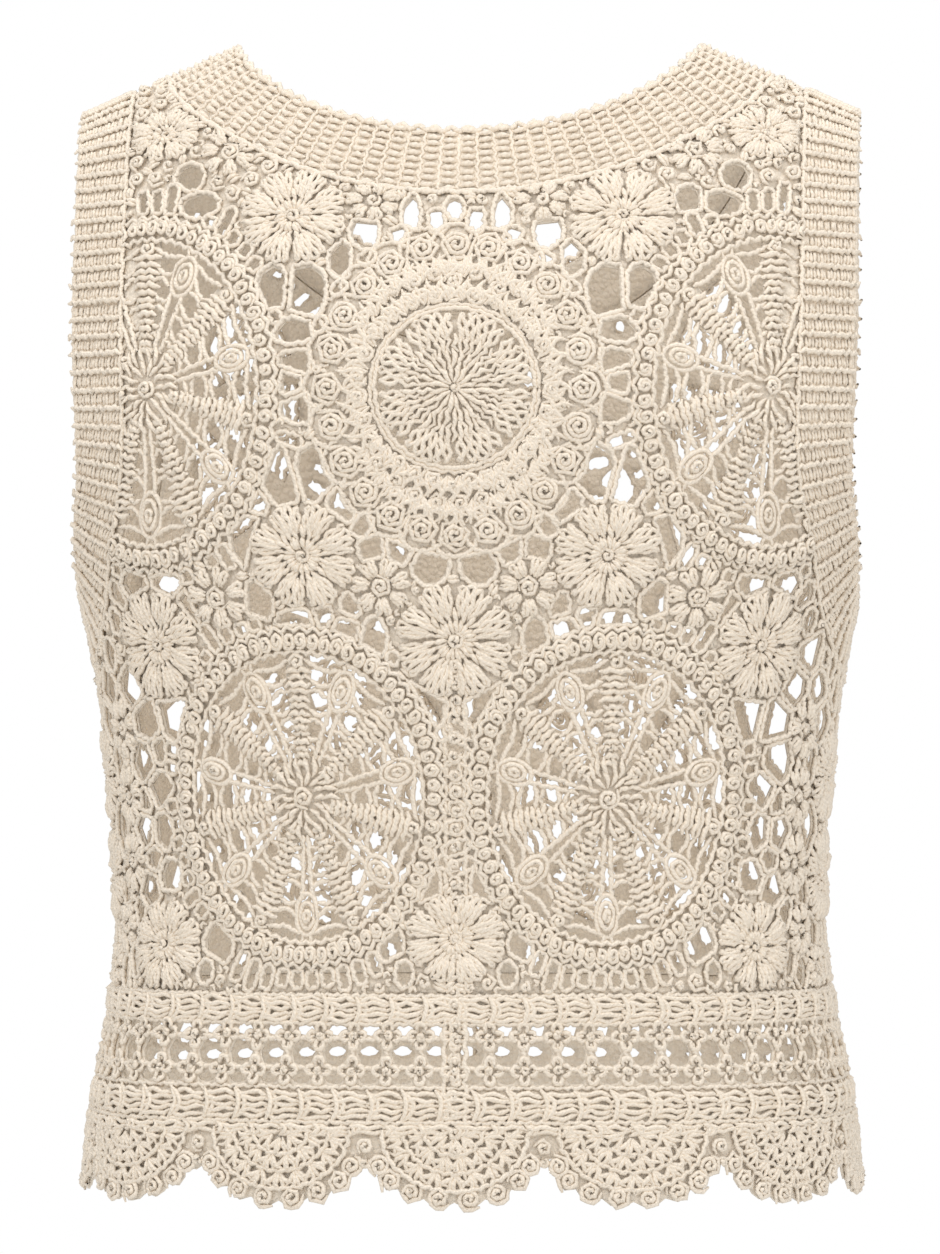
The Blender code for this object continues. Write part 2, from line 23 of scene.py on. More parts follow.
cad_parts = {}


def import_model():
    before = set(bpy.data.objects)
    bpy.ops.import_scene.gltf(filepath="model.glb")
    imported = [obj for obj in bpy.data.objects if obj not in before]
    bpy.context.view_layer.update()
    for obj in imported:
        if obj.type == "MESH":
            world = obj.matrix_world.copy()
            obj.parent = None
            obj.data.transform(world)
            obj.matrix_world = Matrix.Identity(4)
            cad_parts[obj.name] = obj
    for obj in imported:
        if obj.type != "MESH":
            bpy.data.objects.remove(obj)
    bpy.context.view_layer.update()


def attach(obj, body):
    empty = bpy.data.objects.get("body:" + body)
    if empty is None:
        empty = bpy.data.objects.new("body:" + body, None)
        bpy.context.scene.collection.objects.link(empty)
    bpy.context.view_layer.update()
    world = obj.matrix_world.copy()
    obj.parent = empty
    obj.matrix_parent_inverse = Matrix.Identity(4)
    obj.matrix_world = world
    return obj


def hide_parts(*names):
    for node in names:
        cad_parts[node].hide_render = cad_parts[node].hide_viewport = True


LOG = logging.getLogger("vest")
Array = np.ndarray

MM = 0.001
TAU = 2 * math.pi
BODY = "root"

# The yarn and the chain ground: radii, steps and reaches in millimetres, and shares.
YARN = 1.12
HAND = 0.16
KNOT = 0.17
CHAIN_STEP = 1.5
LEAST_RUN = 3
CELL_REACH = 1.75
CELL_SIDES = 9
HOLE_INSET = 0.6
RIM_CORNERS = 8
ROOM_REACH = 26.0
FILL_REACH = 20.0
GAP_REACH = 30.0
RIM_REACH = 8.0
RIM_GAP_LENGTHS = (6.8, 5.2, 3.6, 2.6)
SQUARENESS = 0.5
SPIRAL_PITCH = 2.1
LEAST_CURL = 1.05
LARGEST_CURL = 4.4
CURLS_FROM = 3.0
MIXED_FROM = 2.2
POSTS_FROM = 1.5
CURL_CHANCE = 0.6
CURL_GRID = 1.5
THICK_YARN = 1.3
SPOKE_YARN = 1.35
THIN_YARN = 0.95
TUBE_SIDES = 4
PLY_PITCH = 3.6
STITCH_BULGE = 0.09
BASE_FACE = -0.8
BASE_BACK = -2.0
BASE_GRID = 7.0

# The torso, the edges of the pieces and the rows of the hem, in millimetres.
ROUNDNESS = 2.4
NECK_HALF = 96.0
NECK_RISE = 20.0
SHOULDER_SLOPE = 0.44
SHOULDER_FULLNESS = 0.85
CREST_RADIUS = 13.0
UNDERARM = -240.0
ARMHOLE_ACROSS = 167.0
ARMHOLE_TURN = -150.0
ARMHOLE_ROUNDNESS = 2.2
NECK_BAND = 29.0
ARM_BAND = 27.0
SEAM = 0.4
HEM_TOP = -399.0
MESH_MIDDLE = -423.0
MESH_ROWS = (-416.2, -430.4)
MESH_SLITS = (-413.6, -433.6)
CHAIN_ROWS = (-399.9, -410.9, -437.4, -451.4)
SHELL_BANDS = ((-399.6, -411.0, 0.0), (-438.5, -451.0, 0.5), (-452.2, -457.0, 0.0))
SHELL_CELLS = 30
NOTCH = -466.0
SHELLS_TOP = -455.0
SCALLOP_DROP = 22.0
SCALLOPS = 3
ROSETTES_IN_SCALLOP = 8
SCALLOP_ROSETTE = 5.3
MESH_HOLES = 30
SWAY = 2.0
SWAY_STARTS = -330.0

# The motifs: counts, places as shares of their size, and lengths in millimetres.
WHEEL_BLOCKS = 70
SPOKES = 7
SPOKE_ROWS = 14
SPOKE_START = 0.17
SPOKE_SPAN = 0.58
SPOKE_NARROW = 2.2
SPOKE_WIDENS = 4.2
RUNGS = (0.29, 0.37, 0.45, 0.53, 0.61, 0.7)
LEAF_PLACE = 0.69
LEAF_HALF = 5.0
WHEEL_RING = 0.925
BLOCK_ALONG = 2.5
BLOCK_OUT = 3.7
PETALS = 8
BUD_PETALS = 7
NECK_RIBS = 40
FRONT_NECK_RIBS = 54
NECK_ROWS = 9
ARM_RIBS = 38
ARM_POSTS = 8
MEDALLION_ROSETTES = 24
DISC_SHARE = (0.585, 0.51)
ROSETTE_RING = 0.885
ROSETTE_SIZE = 7.8
SHELL_LENGTH = 9.0
GROUND_STEP = 2.0
LARGEST_GAP = 6.6
SMALLEST_GAP = 2.7
BAR_BETWEEN_GAPS = 2.7


@dataclass(frozen=True)
class Level:
    """The torso's half width and depths at one height."""

    up: float
    half_width: float
    back_depth: float
    front_depth: float


LEVELS = (
    Level(-500, 165.5, 107, 112),
    Level(-440, 159.5, 102, 108),
    Level(-406, 153, 98, 105),
    Level(-365, 149.5, 95, 103),
    Level(-320, 151.5, 97, 106),
    Level(-280, 156, 100, 109),
    Level(-240, 163, 103, 112),
    Level(-205, 175, 104.5, 113),
    Level(-165, 185, 105, 112),
    Level(-120, 189.5, 105, 110),
    Level(-60, 190, 105, 108),
    Level(40, 190, 104, 106),
)


class Facing(Enum):
    """Which half of the torso a pattern lies on."""

    BACK = -1
    FRONT = 1


@dataclass(frozen=True)
class Motif:
    """An oval place in the pattern that holds a flower, a wheel, a rosette or a gap."""

    across: float
    up: float
    half_width: float
    half_height: float

    def at(self, turn: Array | float, radius: Array | float) -> Array:
        """Places on the oval: middle + radius x half sizes x (cosine, sine) of the turn.

        Args:
            turn: The turn, in radians from across.
            radius: How far out, as a share of the half sizes.

        Returns:
            Rows of across and up.
        """
        turn, radius = np.broadcast_arrays(np.asarray(turn, float), np.asarray(radius, float))
        across = self.across + self.half_width * radius * np.cos(turn)
        up = self.up + self.half_height * radius * np.sin(turn)
        return np.stack([across, up], -1)

    def beside(self, turn: float, radius: Array | float, aside: Array | float) -> Array:
        """Places beside a radial line: its own place plus `aside` along its left normal.

        Args:
            turn: The line's turn, in radians.
            radius: How far out, as a share of the half sizes.
            aside: Millimetres to the left of the line.

        Returns:
            Rows of across and up.
        """
        along = np.array([self.half_width * math.cos(turn), self.half_height * math.sin(turn)])
        along /= np.linalg.norm(along)
        left = np.array([-along[1], along[0]])
        middle = self.at(turn, radius)
        return middle + np.asarray(aside, float)[..., None] * left

    def distance(self, places: Array) -> Array:
        """Roughly how far places lie outside the oval, scaled along the line from its middle.

        Args:
            places: Rows that start with across and up.

        Returns:
            Millimetres, negative inside.
        """
        offset = places[..., :2] - (self.across, self.up)
        ratio = np.hypot(offset[..., 0] / self.half_width, offset[..., 1] / self.half_height)
        return (ratio - 1) * np.linalg.norm(offset, axis=-1) / np.maximum(ratio, 1e-6)

    def mirrored(self) -> Motif:
        """The same oval on the other side of the middle line."""
        return replace(self, across=-self.across)


WHEEL = Motif(68, -318, 63, 70.5)
HALF_WHEEL = Motif(127.5, -148, 57, 77)
BACK_MEDALLION = Motif(0, -149, 57, 68)
FRONT_MEDALLION = Motif(0, -184, 43, 45)

SHARED_FLOWERS = (
    Motif(61, -218, 21, 21),
    Motif(133.5, -255, 21, 22),
    Motif(0, -253, 24, 23),
    Motif(140, -380, 20, 18),
    Motif(0, -376, 22, 18),
    Motif(122, -30, 15, 13),
    Motif(197, -310, 17, 19),
    Motif(197, -352, 17, 19),
)
BACK_FLOWERS = SHARED_FLOWERS + (Motif(65, -75, 21, 21),)
FRONT_FLOWERS = SHARED_FLOWERS + (Motif(54, -138, 17, 17),)
SHARED_BUDS = (
    Motif(100, -235, 12, 12),
    Motif(30, -231, 11, 11),
    Motif(166, -318, 9, 12),
    Motif(166, -346, 9, 12),
    Motif(166, -290, 9, 12),
    Motif(172, -374, 8, 10),
    Motif(186, -390, 8, 8),
)
BACK_BUDS = SHARED_BUDS + (Motif(93, -42, 11, 11), Motif(33, -69, 10, 8))
FRONT_BUDS = SHARED_BUDS + (Motif(99, -61, 9, 9),)

UPPER_GAPS = (
    Motif(106, -24, 4, 6.6),
    Motif(110, -53, 4, 4.5),
    Motif(51, -63, 3.2, 4.7),
    Motif(105, -67, 5.3, 3.9),
    Motif(18, -76, 2.4, 6.8),
    Motif(36, -83, 3.6, 5.8),
    Motif(97, -83, 6.9, 4.6),
    Motif(46, -93, 2.8, 9.7),
    Motif(73, -107, 4.1, 7),
    Motif(59, -108, 4.8, 8.6),
    Motif(64, -125, 5.7, 3.4),
    Motif(62, -138, 5.7, 3.3),
    Motif(61, -157, 5.7, 4.1),
    Motif(56, -186, 4.9, 11.5),
    Motif(70, -190, 4.6, 10.3),
    Motif(45, -196, 3.6, 7.4),
)
LOWER_GAPS = (
    Motif(83, -211, 5.1, 9.1),
    Motif(21, -214, 4, 4.9),
    Motif(10, -221, 4.8, 5.8),
    Motif(124, -229, 4.6, 4.1),
    Motif(142, -230, 6.1, 4.2),
    Motif(82, -237, 3.9, 5.8),
    Motif(115, -240, 3, 7.5),
    Motif(66, -246, 6.1, 3.7),
    Motif(46, -249, 3.8, 4.9),
    Motif(89, -251, 4.1, 5.8),
    Motif(34, -252, 3.4, 5.8),
    Motif(101, -258, 4.3, 6.6),
    Motif(13, -276, 6, 9.9),
    Motif(131, -284, 5.8, 9.2),
    Motif(148, -287, 7.1, 6.7),
    Motif(143, -315, 5.4, 5),
    Motif(142, -333, 4.7, 5),
    Motif(139, -351, 5.9, 4.2),
    Motif(12, -355, 3.2, 8.3),
    Motif(147, -365, 7.2, 9.2),
    Motif(128, -367, 4, 8.3),
    Motif(111, -379, 4.6, 5.8),
    Motif(29, -379, 3.6, 4.9),
    Motif(161, -386, 4.1, 5),
    Motif(59, -394, 4.6, 2.5),
    Motif(81, -394, 4.9, 2.9),
)


def level_value(up: Array | float, column: str) -> Array:
    """A smooth curve through one column of LEVELS.

    Between two heights it is the cubic with both their values and both their slopes.

    Args:
        up: Heights in the pattern.
        column: The name of a Level field.

    Returns:
        The column's value at each height.
    """
    ups = np.array([level.up for level in LEVELS], float)
    values = np.array([getattr(level, column) for level in LEVELS], float)
    slopes = np.gradient(values, ups)
    up = np.clip(up, ups[0], ups[-1])
    row = np.clip(np.searchsorted(ups, up) - 1, 0, len(ups) - 2)
    step = ups[row + 1] - ups[row]
    t = (up - ups[row]) / step
    start = values[row] * (2 * t**3 - 3 * t**2 + 1) + slopes[row] * step * (t**3 - 2 * t**2 + t)
    end = values[row + 1] * (3 * t**2 - 2 * t**3) + slopes[row + 1] * step * (t**3 - t**2)
    return start + end


def smooth_step(value: Array) -> Array:
    """Eases from 0 to 1: three squares less two cubes of the clipped value."""
    value = np.clip(value, 0, 1)
    return value * value * (3 - 2 * value)


def run_along(*columns: Array) -> Array:
    """The length run so far at each point of a line: the sum of its chords."""
    steps = np.sqrt(sum(np.diff(column) ** 2 for column in columns))
    return np.concatenate([[0], np.cumsum(steps)])


def shoulder_ridge(x: Array) -> Array:
    """The shoulder line, where back and front meet: a low arch, then a straight slope.

    Args:
        x: How far across, in millimetres.

    Returns:
        The height over each x.
    """
    x = np.abs(x)
    under_neck = NECK_RISE * (1 - (x / NECK_HALF) ** 2)
    return np.where(x < NECK_HALF, under_neck, -SHOULDER_SLOPE * (x - NECK_HALF))


class Side:
    """The back or the front half of the torso, which a pattern is laid on."""

    def __init__(self, facing: Facing, depth_column: str, reach: float, power: float) -> None:
        """Works out the girth's run and the cloth's run over the shoulder.

        Args:
            facing: Which half of the torso it is.
            depth_column: The Level field with its depth.
            reach: How far under the shoulder line it gets its full depth.
            power: How fast it does so.
        """
        self.sign = facing.value
        self.column = depth_column
        self.reach = reach
        self.power = power
        self.angle = np.linspace(0, math.pi / 2, 600)
        run = self.section_run(UNDERARM)
        self.quarter = float(run[-1])
        self.share = run / run[-1]
        self.levels = np.arange(-500, 43, 6.0)
        self.girths = np.array([self.section_run(up)[-1] for up in self.levels])
        self.drop = reach * np.linspace(0, 1, 800) ** 3
        out = SHOULDER_FULLNESS * level_value(-100, depth_column) * self.fullness(self.drop)
        self.cloth = run_along(self.drop, out)
        self.extra = self.cloth[-1] - self.drop[-1]

    def section_run(self, up: float) -> Array:
        """The run round a quarter of the girth, a superellipse whose depth is both sides' mean.

        Args:
            up: The height.

        Returns:
            The run at each of `angle`.
        """
        depth = (level_value(up, "back_depth") + level_value(up, "front_depth")) / 2
        x = level_value(up, "half_width") * np.sin(self.angle) ** (2 / ROUNDNESS)
        y = depth * np.cos(self.angle) ** (2 / ROUNDNESS)
        return run_along(x, y)

    def fullness(self, drop: Array) -> Array:
        """How much of the full depth the cloth has: a sine of the drop, and a round crest.

        Args:
            drop: Drops under the shoulder line.

        Returns:
            Shares of the full depth.
        """
        drop = np.maximum(drop, 0)
        body = np.sin(math.pi / 2 * np.minimum(drop / self.reach, 1) ** self.power)
        crest = np.sqrt(2 * CREST_RADIUS * drop) * np.exp(-drop / (2 * CREST_RADIUS))
        return body + crest / level_value(-100, self.column)

    def girth(self, up: Array) -> Array:
        """The pattern's half width: over the armhole it follows the girth, so across stays true."""
        ramp = smooth_step((up - UNDERARM) / 60)
        return self.quarter + (np.interp(up, self.levels, self.girths) - self.quarter) * ramp

    def section(self, across: Array, up: Array) -> tuple[Array, Array]:
        """The worn torso's outline at a height: a superellipse, by its run from the middle.

        Args:
            across: Pattern places across.
            up: Their heights.

        Returns:
            How far to the side, and how deep, each lies.
        """
        angle = np.interp(np.abs(across) / self.girth(up), self.share, self.angle)
        x = np.sign(across) * level_value(up, "half_width") * np.sin(angle) ** (2 / ROUNDNESS)
        depth = level_value(up, self.column) * np.cos(angle) ** (2 / ROUNDNESS)
        return x, depth

    def shoulder(self, across: Array) -> Array:
        """The height in the pattern at which a column reaches the shoulder line."""
        x, _ = self.section(across, np.zeros_like(across))
        return shoulder_ridge(x) + self.extra

    def sway(self, across: Array, up: Array) -> Array:
        """The soft folds below the waist: two cosines round the girth, alike at the side seams.

        Args:
            across: Pattern places across.
            up: Their heights.

        Returns:
            Millimetres outwards.
        """
        turn = across / self.quarter * math.pi / 2
        if self.sign > 0:
            turn = np.where(across < 0, -math.pi, math.pi) - turn
        wave = 0.6 * np.cos(7 * turn + 0.7) + 0.4 * np.cos(11 * turn - 1.2)
        return SWAY * wave * smooth_step((SWAY_STARTS - up) / 110)

    def surface(self, across: Array, up: Array) -> Array:
        """The cloth's middle face: the section, drawn in by the fullness of the drop.

        Args:
            across: Pattern places across.
            up: Their heights.

        Returns:
            Points in millimetres.
        """
        x, depth = self.section(across, up)
        below = np.maximum(shoulder_ridge(x) + self.extra - up, 0)
        drop = np.where(
            below < self.cloth[-1],
            np.interp(below, self.cloth, self.drop),
            below - self.extra,
        )
        y = self.sign * depth * self.fullness(drop)
        grow = 1 + self.sway(across, up) / 130
        return np.stack([x * grow, y * grow, shoulder_ridge(x) - drop], -1)

    def place(self, places: Array, out: Array | float) -> tuple[Array, Array]:
        """Puts pattern places on the torso.

        The normal is the cross product of a short step along the cloth and one up it.

        Args:
            places: Rows of across and up.
            out: How far beyond the cloth's face each one lies.

        Returns:
            The points in millimetres, and the cloth's outward normal at each.
        """
        across, up = places[..., 0], places[..., 1]
        near = 0.4
        along = self.surface(across + near, up) - self.surface(across - near, up)
        rise = self.surface(across, up + near) - self.surface(across, up - near)
        normal = -self.sign * np.cross(along, rise)
        normal /= np.maximum(np.linalg.norm(normal, axis=-1, keepdims=True), 1e-9)
        out = np.broadcast_to(np.asarray(out, float), across.shape)
        return self.surface(across, up) + normal * out[..., None], normal


def even_stations(line: Array, count: int) -> Array:
    """Evenly spaced stations on a dense line."""
    run = run_along(line[:, 0], line[:, 1])
    return np.interp(np.linspace(0, run[-1], count + 1), run, np.linspace(0, 1, len(line)))


class NeckEdge:
    """The neckline of one side: half an ellipse from shoulder to shoulder."""

    width = NECK_BAND

    def __init__(self, side: Side, low: float) -> None:
        """Sets the ellipse's half width, top and depth.

        Args:
            side: The side that it lies on.
            low: The height of its lowest point.
        """
        self.side = side
        self.half = NECK_HALF - 1
        self.top = float(side.shoulder(np.array(self.half, float)))
        self.depth = self.top - low

    def line(self, share: Array, offset: float) -> Array:
        """The neckline or a line beside it: the ellipse, moved out along its normal.

        Args:
            share: How far along, from 0 to 1.
            offset: Millimetres outwards.

        Returns:
            Rows of across and up.
        """
        turn = math.pi * np.asarray(share, float)
        normal = np.stack([np.cos(turn) / self.half, -np.sin(turn) / self.depth], -1)
        normal /= np.linalg.norm(normal, axis=-1, keepdims=True)
        across = self.half * np.cos(turn) + offset * normal[..., 0]
        up = self.top - self.depth * np.sin(turn) + offset * normal[..., 1]
        reach = self.half + offset
        fall = self.side.shoulder(np.zeros_like(across) + reach) - self.top
        near_end = smooth_step(1 - np.minimum(share, 1 - share) / 0.25)
        return np.stack([across, up + fall * near_end], -1)


class ArmEdge:
    """The armhole of one side, from the shoulder line down to the side seam."""

    width = ARM_BAND

    def __init__(self, side: Side) -> None:
        """Draws the edge: straight down, then a quarter of a superellipse to the side seam.

        Args:
            side: The side that it lies on.
        """
        self.side = side
        top = float(side.shoulder(np.array(ARMHOLE_ACROSS, float)))
        turn = np.linspace(0, math.pi / 2, 300)
        power = 2 / ARMHOLE_ROUNDNESS
        wide = side.quarter - ARMHOLE_ACROSS
        bend_across = side.quarter - wide * np.cos(turn) ** power
        bend_up = ARMHOLE_TURN - (ARMHOLE_TURN - UNDERARM) * np.sin(turn) ** power
        straight = np.linspace(top, ARMHOLE_TURN, 200, endpoint=False)
        across = np.concatenate([np.full(200, float(ARMHOLE_ACROSS)), bend_across])
        up = np.concatenate([straight, bend_up])
        run = run_along(across, up)
        even = np.linspace(0, run[-1], 400)
        self.across = np.interp(even, run, across)
        self.up = np.interp(even, run, up)
        along = np.gradient(self.across)
        rise = np.gradient(self.up)
        length = np.hypot(along, rise)
        self.normal = np.stack([rise / length, -along / length], -1)

    def line(self, share: Array, offset: float) -> Array:
        """The armhole's edge or a line beside it, held to the shoulder line and the side seam.

        Args:
            share: How far along, from 0 to 1.
            offset: Millimetres outwards.

        Returns:
            Rows of across and up.
        """
        dense = np.linspace(0, 1, len(self.across))
        across = self.across + offset * self.normal[:, 0]
        up = self.up + offset * self.normal[:, 1]
        at_top = smooth_step(1 - dense / 0.2)
        at_seam = smooth_step((dense - 0.9) / 0.1)
        up = up + at_top * (self.side.shoulder(across[:1]) - up[0])
        across = across + at_seam * (self.side.quarter - across[-1])
        return np.stack([np.interp(share, dense, across), np.interp(share, dense, up)], -1)


class BandMap:
    """The flat places of a band, by rib number along it and millimetres over it."""

    def __init__(self, edge: NeckEdge | ArmEdge, ribs: int) -> None:
        """Lays a grid over the band, even along its middle.

        Args:
            edge: The edge that it lies on.
            ribs: How many ribs it has.
        """
        self.ribs = ribs
        self.width = edge.width
        self.offsets = np.linspace(-3, edge.width + 3, 12)
        middle = edge.line(np.linspace(0, 1, 400), edge.width / 2)
        shares = even_stations(middle, 4 * ribs)
        self.grid = np.stack([edge.line(shares, float(offset)) for offset in self.offsets])

    def at(self, rib: Array | float, over: Array | float) -> Array:
        """Flat places of the band, between the grid's four nearest by straight shares.

        Args:
            rib: The rib number, whole or part.
            over: Millimetres over the band.

        Returns:
            Rows of across and up.
        """
        rib, over = np.broadcast_arrays(np.asarray(rib, float), np.asarray(over, float))
        column = np.clip(rib * 4, 0, self.grid.shape[1] - 1.001)
        row = np.interp(over, self.offsets, np.arange(len(self.offsets)))
        row = np.clip(row, 0, len(self.offsets) - 1.001)
        i, j = row.astype(int), column.astype(int)
        s, t = (row - i)[..., None], (column - j)[..., None]
        low = self.grid[i, j] * (1 - t) + self.grid[i, j + 1] * t
        high = self.grid[i + 1, j] * (1 - t) + self.grid[i + 1, j + 1] * t
        return low * (1 - s) + high * s


def inside(polygon: Array, points: Array) -> Array:
    """Which points lie inside a polygon: those with an odd count of edges to their right.

    Args:
        polygon: Its corners.
        points: Rows of across and up.

    Returns:
        True for each point inside.
    """
    start = polygon[:, None]
    end = np.roll(polygon, -1, axis=0)[:, None]
    crosses = (start[..., 1] > points[:, 1]) != (end[..., 1] > points[:, 1])
    height = end[..., 1] - start[..., 1]
    height = np.where(height == 0, 1, height)
    at = start[..., 0] + (points[:, 1] - start[..., 1]) * (end[..., 0] - start[..., 0]) / height
    return (crosses & (points[:, 0] < at)).sum(axis=0) % 2 == 1


def edge_distance(polygon: Array, points: Array) -> Array:
    """Each point's distance to the nearest edge of a polygon, end points included.

    Args:
        polygon: Its corners.
        points: Rows of across and up.

    Returns:
        The distances.
    """
    start = polygon[:, None]
    edge = np.roll(polygon, -1, axis=0)[:, None] - start
    share = ((points - start) * edge).sum(-1) / np.maximum((edge**2).sum(-1), 1e-9)
    nearest = start + np.clip(share, 0, 1)[..., None] * edge
    return np.linalg.norm(points - nearest, axis=-1).min(axis=0)


def lifted(places: Array, height: Array | float) -> Array:
    """Pattern places with a height beside each, as a strand's line."""
    heights = np.broadcast_to(np.asarray(height, float), len(places))
    return np.column_stack([places, heights])


def resampled(line: Array, step: float) -> Array:
    """A line again, with its points evenly apart.

    Args:
        line: The line.
        step: About how far apart.

    Returns:
        The new line.
    """
    run = run_along(*line.T)
    count = max(int(round(run[-1] / step)), 2)
    even = np.linspace(0, run[-1], count + 1)
    return np.column_stack([np.interp(even, run, column) for column in line.T])


def wavy(line: Array, amount: float, period: float, phase: float = 0.0) -> Array:
    """A line with a chain's kinks: a sine to the side, a cosine up and down.

    Args:
        line: Rows of across, up and height.
        amount: The kinks' size.
        period: Their length.
        phase: Where they start, in radians.

    Returns:
        The kinked line.
    """
    line = resampled(line, CHAIN_STEP)
    run = run_along(line[:, 0], line[:, 1])
    along = np.gradient(line[:, :2], axis=0)
    along /= np.maximum(np.linalg.norm(along, axis=1, keepdims=True), 1e-9)
    wave = amount * np.sin(TAU * run / period + phase)
    line[:, 0] -= along[:, 1] * wave
    line[:, 1] += along[:, 0] * wave
    line[:, 2] += 0.6 * amount * np.cos(TAU * run / period + phase)
    return line


def runs_of(keep: Array, line: Array) -> list[Array]:
    """The stretches of a line whose points are all kept."""
    edges = np.flatnonzero(np.diff(np.concatenate([[0], keep.astype(int), [0]])))
    return [line[a:b] for a, b in zip(edges[::2], edges[1::2]) if b - a >= LEAST_RUN]


@dataclass
class Skein:
    """Strands of one part of the lace, each a line of across, up and height."""

    side: Side
    keep: Callable[[Array], Array] | None = None
    lines: list[Array] = field(default_factory=list)
    radii: list[float] = field(default_factory=list)
    rng: np.random.Generator = field(default_factory=lambda: np.random.default_rng(11))

    def add(self, line: Array, radius: float = YARN) -> None:
        """Adds a strand, a little out of place as handwork is, cut back to where it may go.

        Args:
            line: Rows of across, up and height.
            radius: The yarn's radius.
        """
        line = line + self.rng.normal(0, HAND, 3) + self.rng.normal(0, KNOT, line.shape)
        parts = [line] if self.keep is None else runs_of(self.keep(line), line)
        for part in parts:
            self.lines.append(part)
            self.radii.append(radius)

    def spiral(self, centre: Sequence[float], radius: float, rise: float = 1.3) -> None:
        """A rosette: yarn wound outwards at an even pitch from a raised heart.

        Args:
            centre: Its middle.
            radius: Its radius.
            rise: How high its heart is.
        """
        turns = max((radius - YARN) * 0.9 / SPIRAL_PITCH, 1.1)
        steps = int(turns * 11)
        share = np.linspace(0, 1, steps + 1)
        turn = self.rng.uniform(0, TAU) + TAU * turns * share
        reach = (radius - YARN) * (0.1 + 0.9 * share) * (1 + 0.12 * np.cos(5.3 * turn))
        places = np.column_stack(
            [centre[0] + reach * np.cos(turn), centre[1] + reach * np.sin(turn)]
        )
        self.add(lifted(places, 0.4 + rise * (1 - share**1.5) + 0.3 * np.cos(4.3 * turn)))

    def fan(
        self,
        motif: Motif,
        middle: float,
        spread: float,
        radii: tuple[float, float],
        strands: int,
        puff: float = 0.9,
    ) -> None:
        """Strands that fan out from a heart in pairs, each pair turned round at its tip.

        Args:
            motif: The oval that they lie in.
            middle: The fan's turn.
            spread: Half its angle.
            radii: Where strands start and end, in shares of the oval.
            strands: How many.
            puff: How high they arch.
        """
        share = np.linspace(0, 1, 7)
        legs = []
        for index in range(strands):
            lean = 2 * (index + 0.5) / strands - 1
            far = radii[1] - 0.16 * lean * lean * (radii[1] - radii[0])
            turn = middle + spread * lean * (0.86 + 0.14 * share)
            radius = radii[0] + (far - radii[0]) * share
            places = motif.at(turn + 0.03 * np.sin(9 * share + 2.3 * index), radius)
            height = 0.2 + puff * (1 - 0.6 * lean**2) * np.sin(math.pi * (0.15 + 0.7 * share))
            legs.append(lifted(places, height + 0.35 * (index % 2)))
        for index in range(0, strands - 1, 2):
            tip = (legs[index][-1] + legs[index + 1][-1]) / 2
            outward = tip[:2] - (motif.across, motif.up)
            tip[:2] += outward / np.linalg.norm(outward) * 0.9
            self.add(np.concatenate([legs[index], tip[None], legs[index + 1][::-1]]))
        if strands % 2:
            self.add(legs[-1])

    def posts(self, centre: Sequence[float], turn: float, half: float, count: int) -> None:
        """A few short strands side by side, drawn together at their ends.

        Args:
            centre: Their middle.
            turn: Which way they run.
            half: Half their length.
            count: How many.
        """
        along = np.array([math.cos(turn), math.sin(turn)])
        aside = np.array([-along[1], along[0]])
        share = np.linspace(-1, 1, 5)
        for post in range(count):
            off = 1.9 * (post - (count - 1) / 2) * (1 - 0.35 * share**2)
            places = np.asarray(centre) + half * share[:, None] * along + off[:, None] * aside
            self.add(lifted(places, 0.9 - 0.8 * share**2))

    def shell(self, foot: Array, turn: float, reach: float, strands: int) -> None:
        """Strands that spread from one stitch, each arched by half a sine.

        Args:
            foot: The stitch.
            turn: Which way the shell points.
            reach: Its length.
            strands: How many.
        """
        share = np.linspace(0.12, 1, 5)
        for lean in np.linspace(-0.8, 0.8, strands):
            bend = turn + lean * (0.7 + 0.3 * share) + 0.1 * np.sin(7 * share + 9 * lean)
            places = foot + reach * share[:, None] * np.column_stack([np.cos(bend), np.sin(bend)])
            self.add(lifted(places, 0.3 + 0.9 * np.sin(math.pi * share * 0.85)))


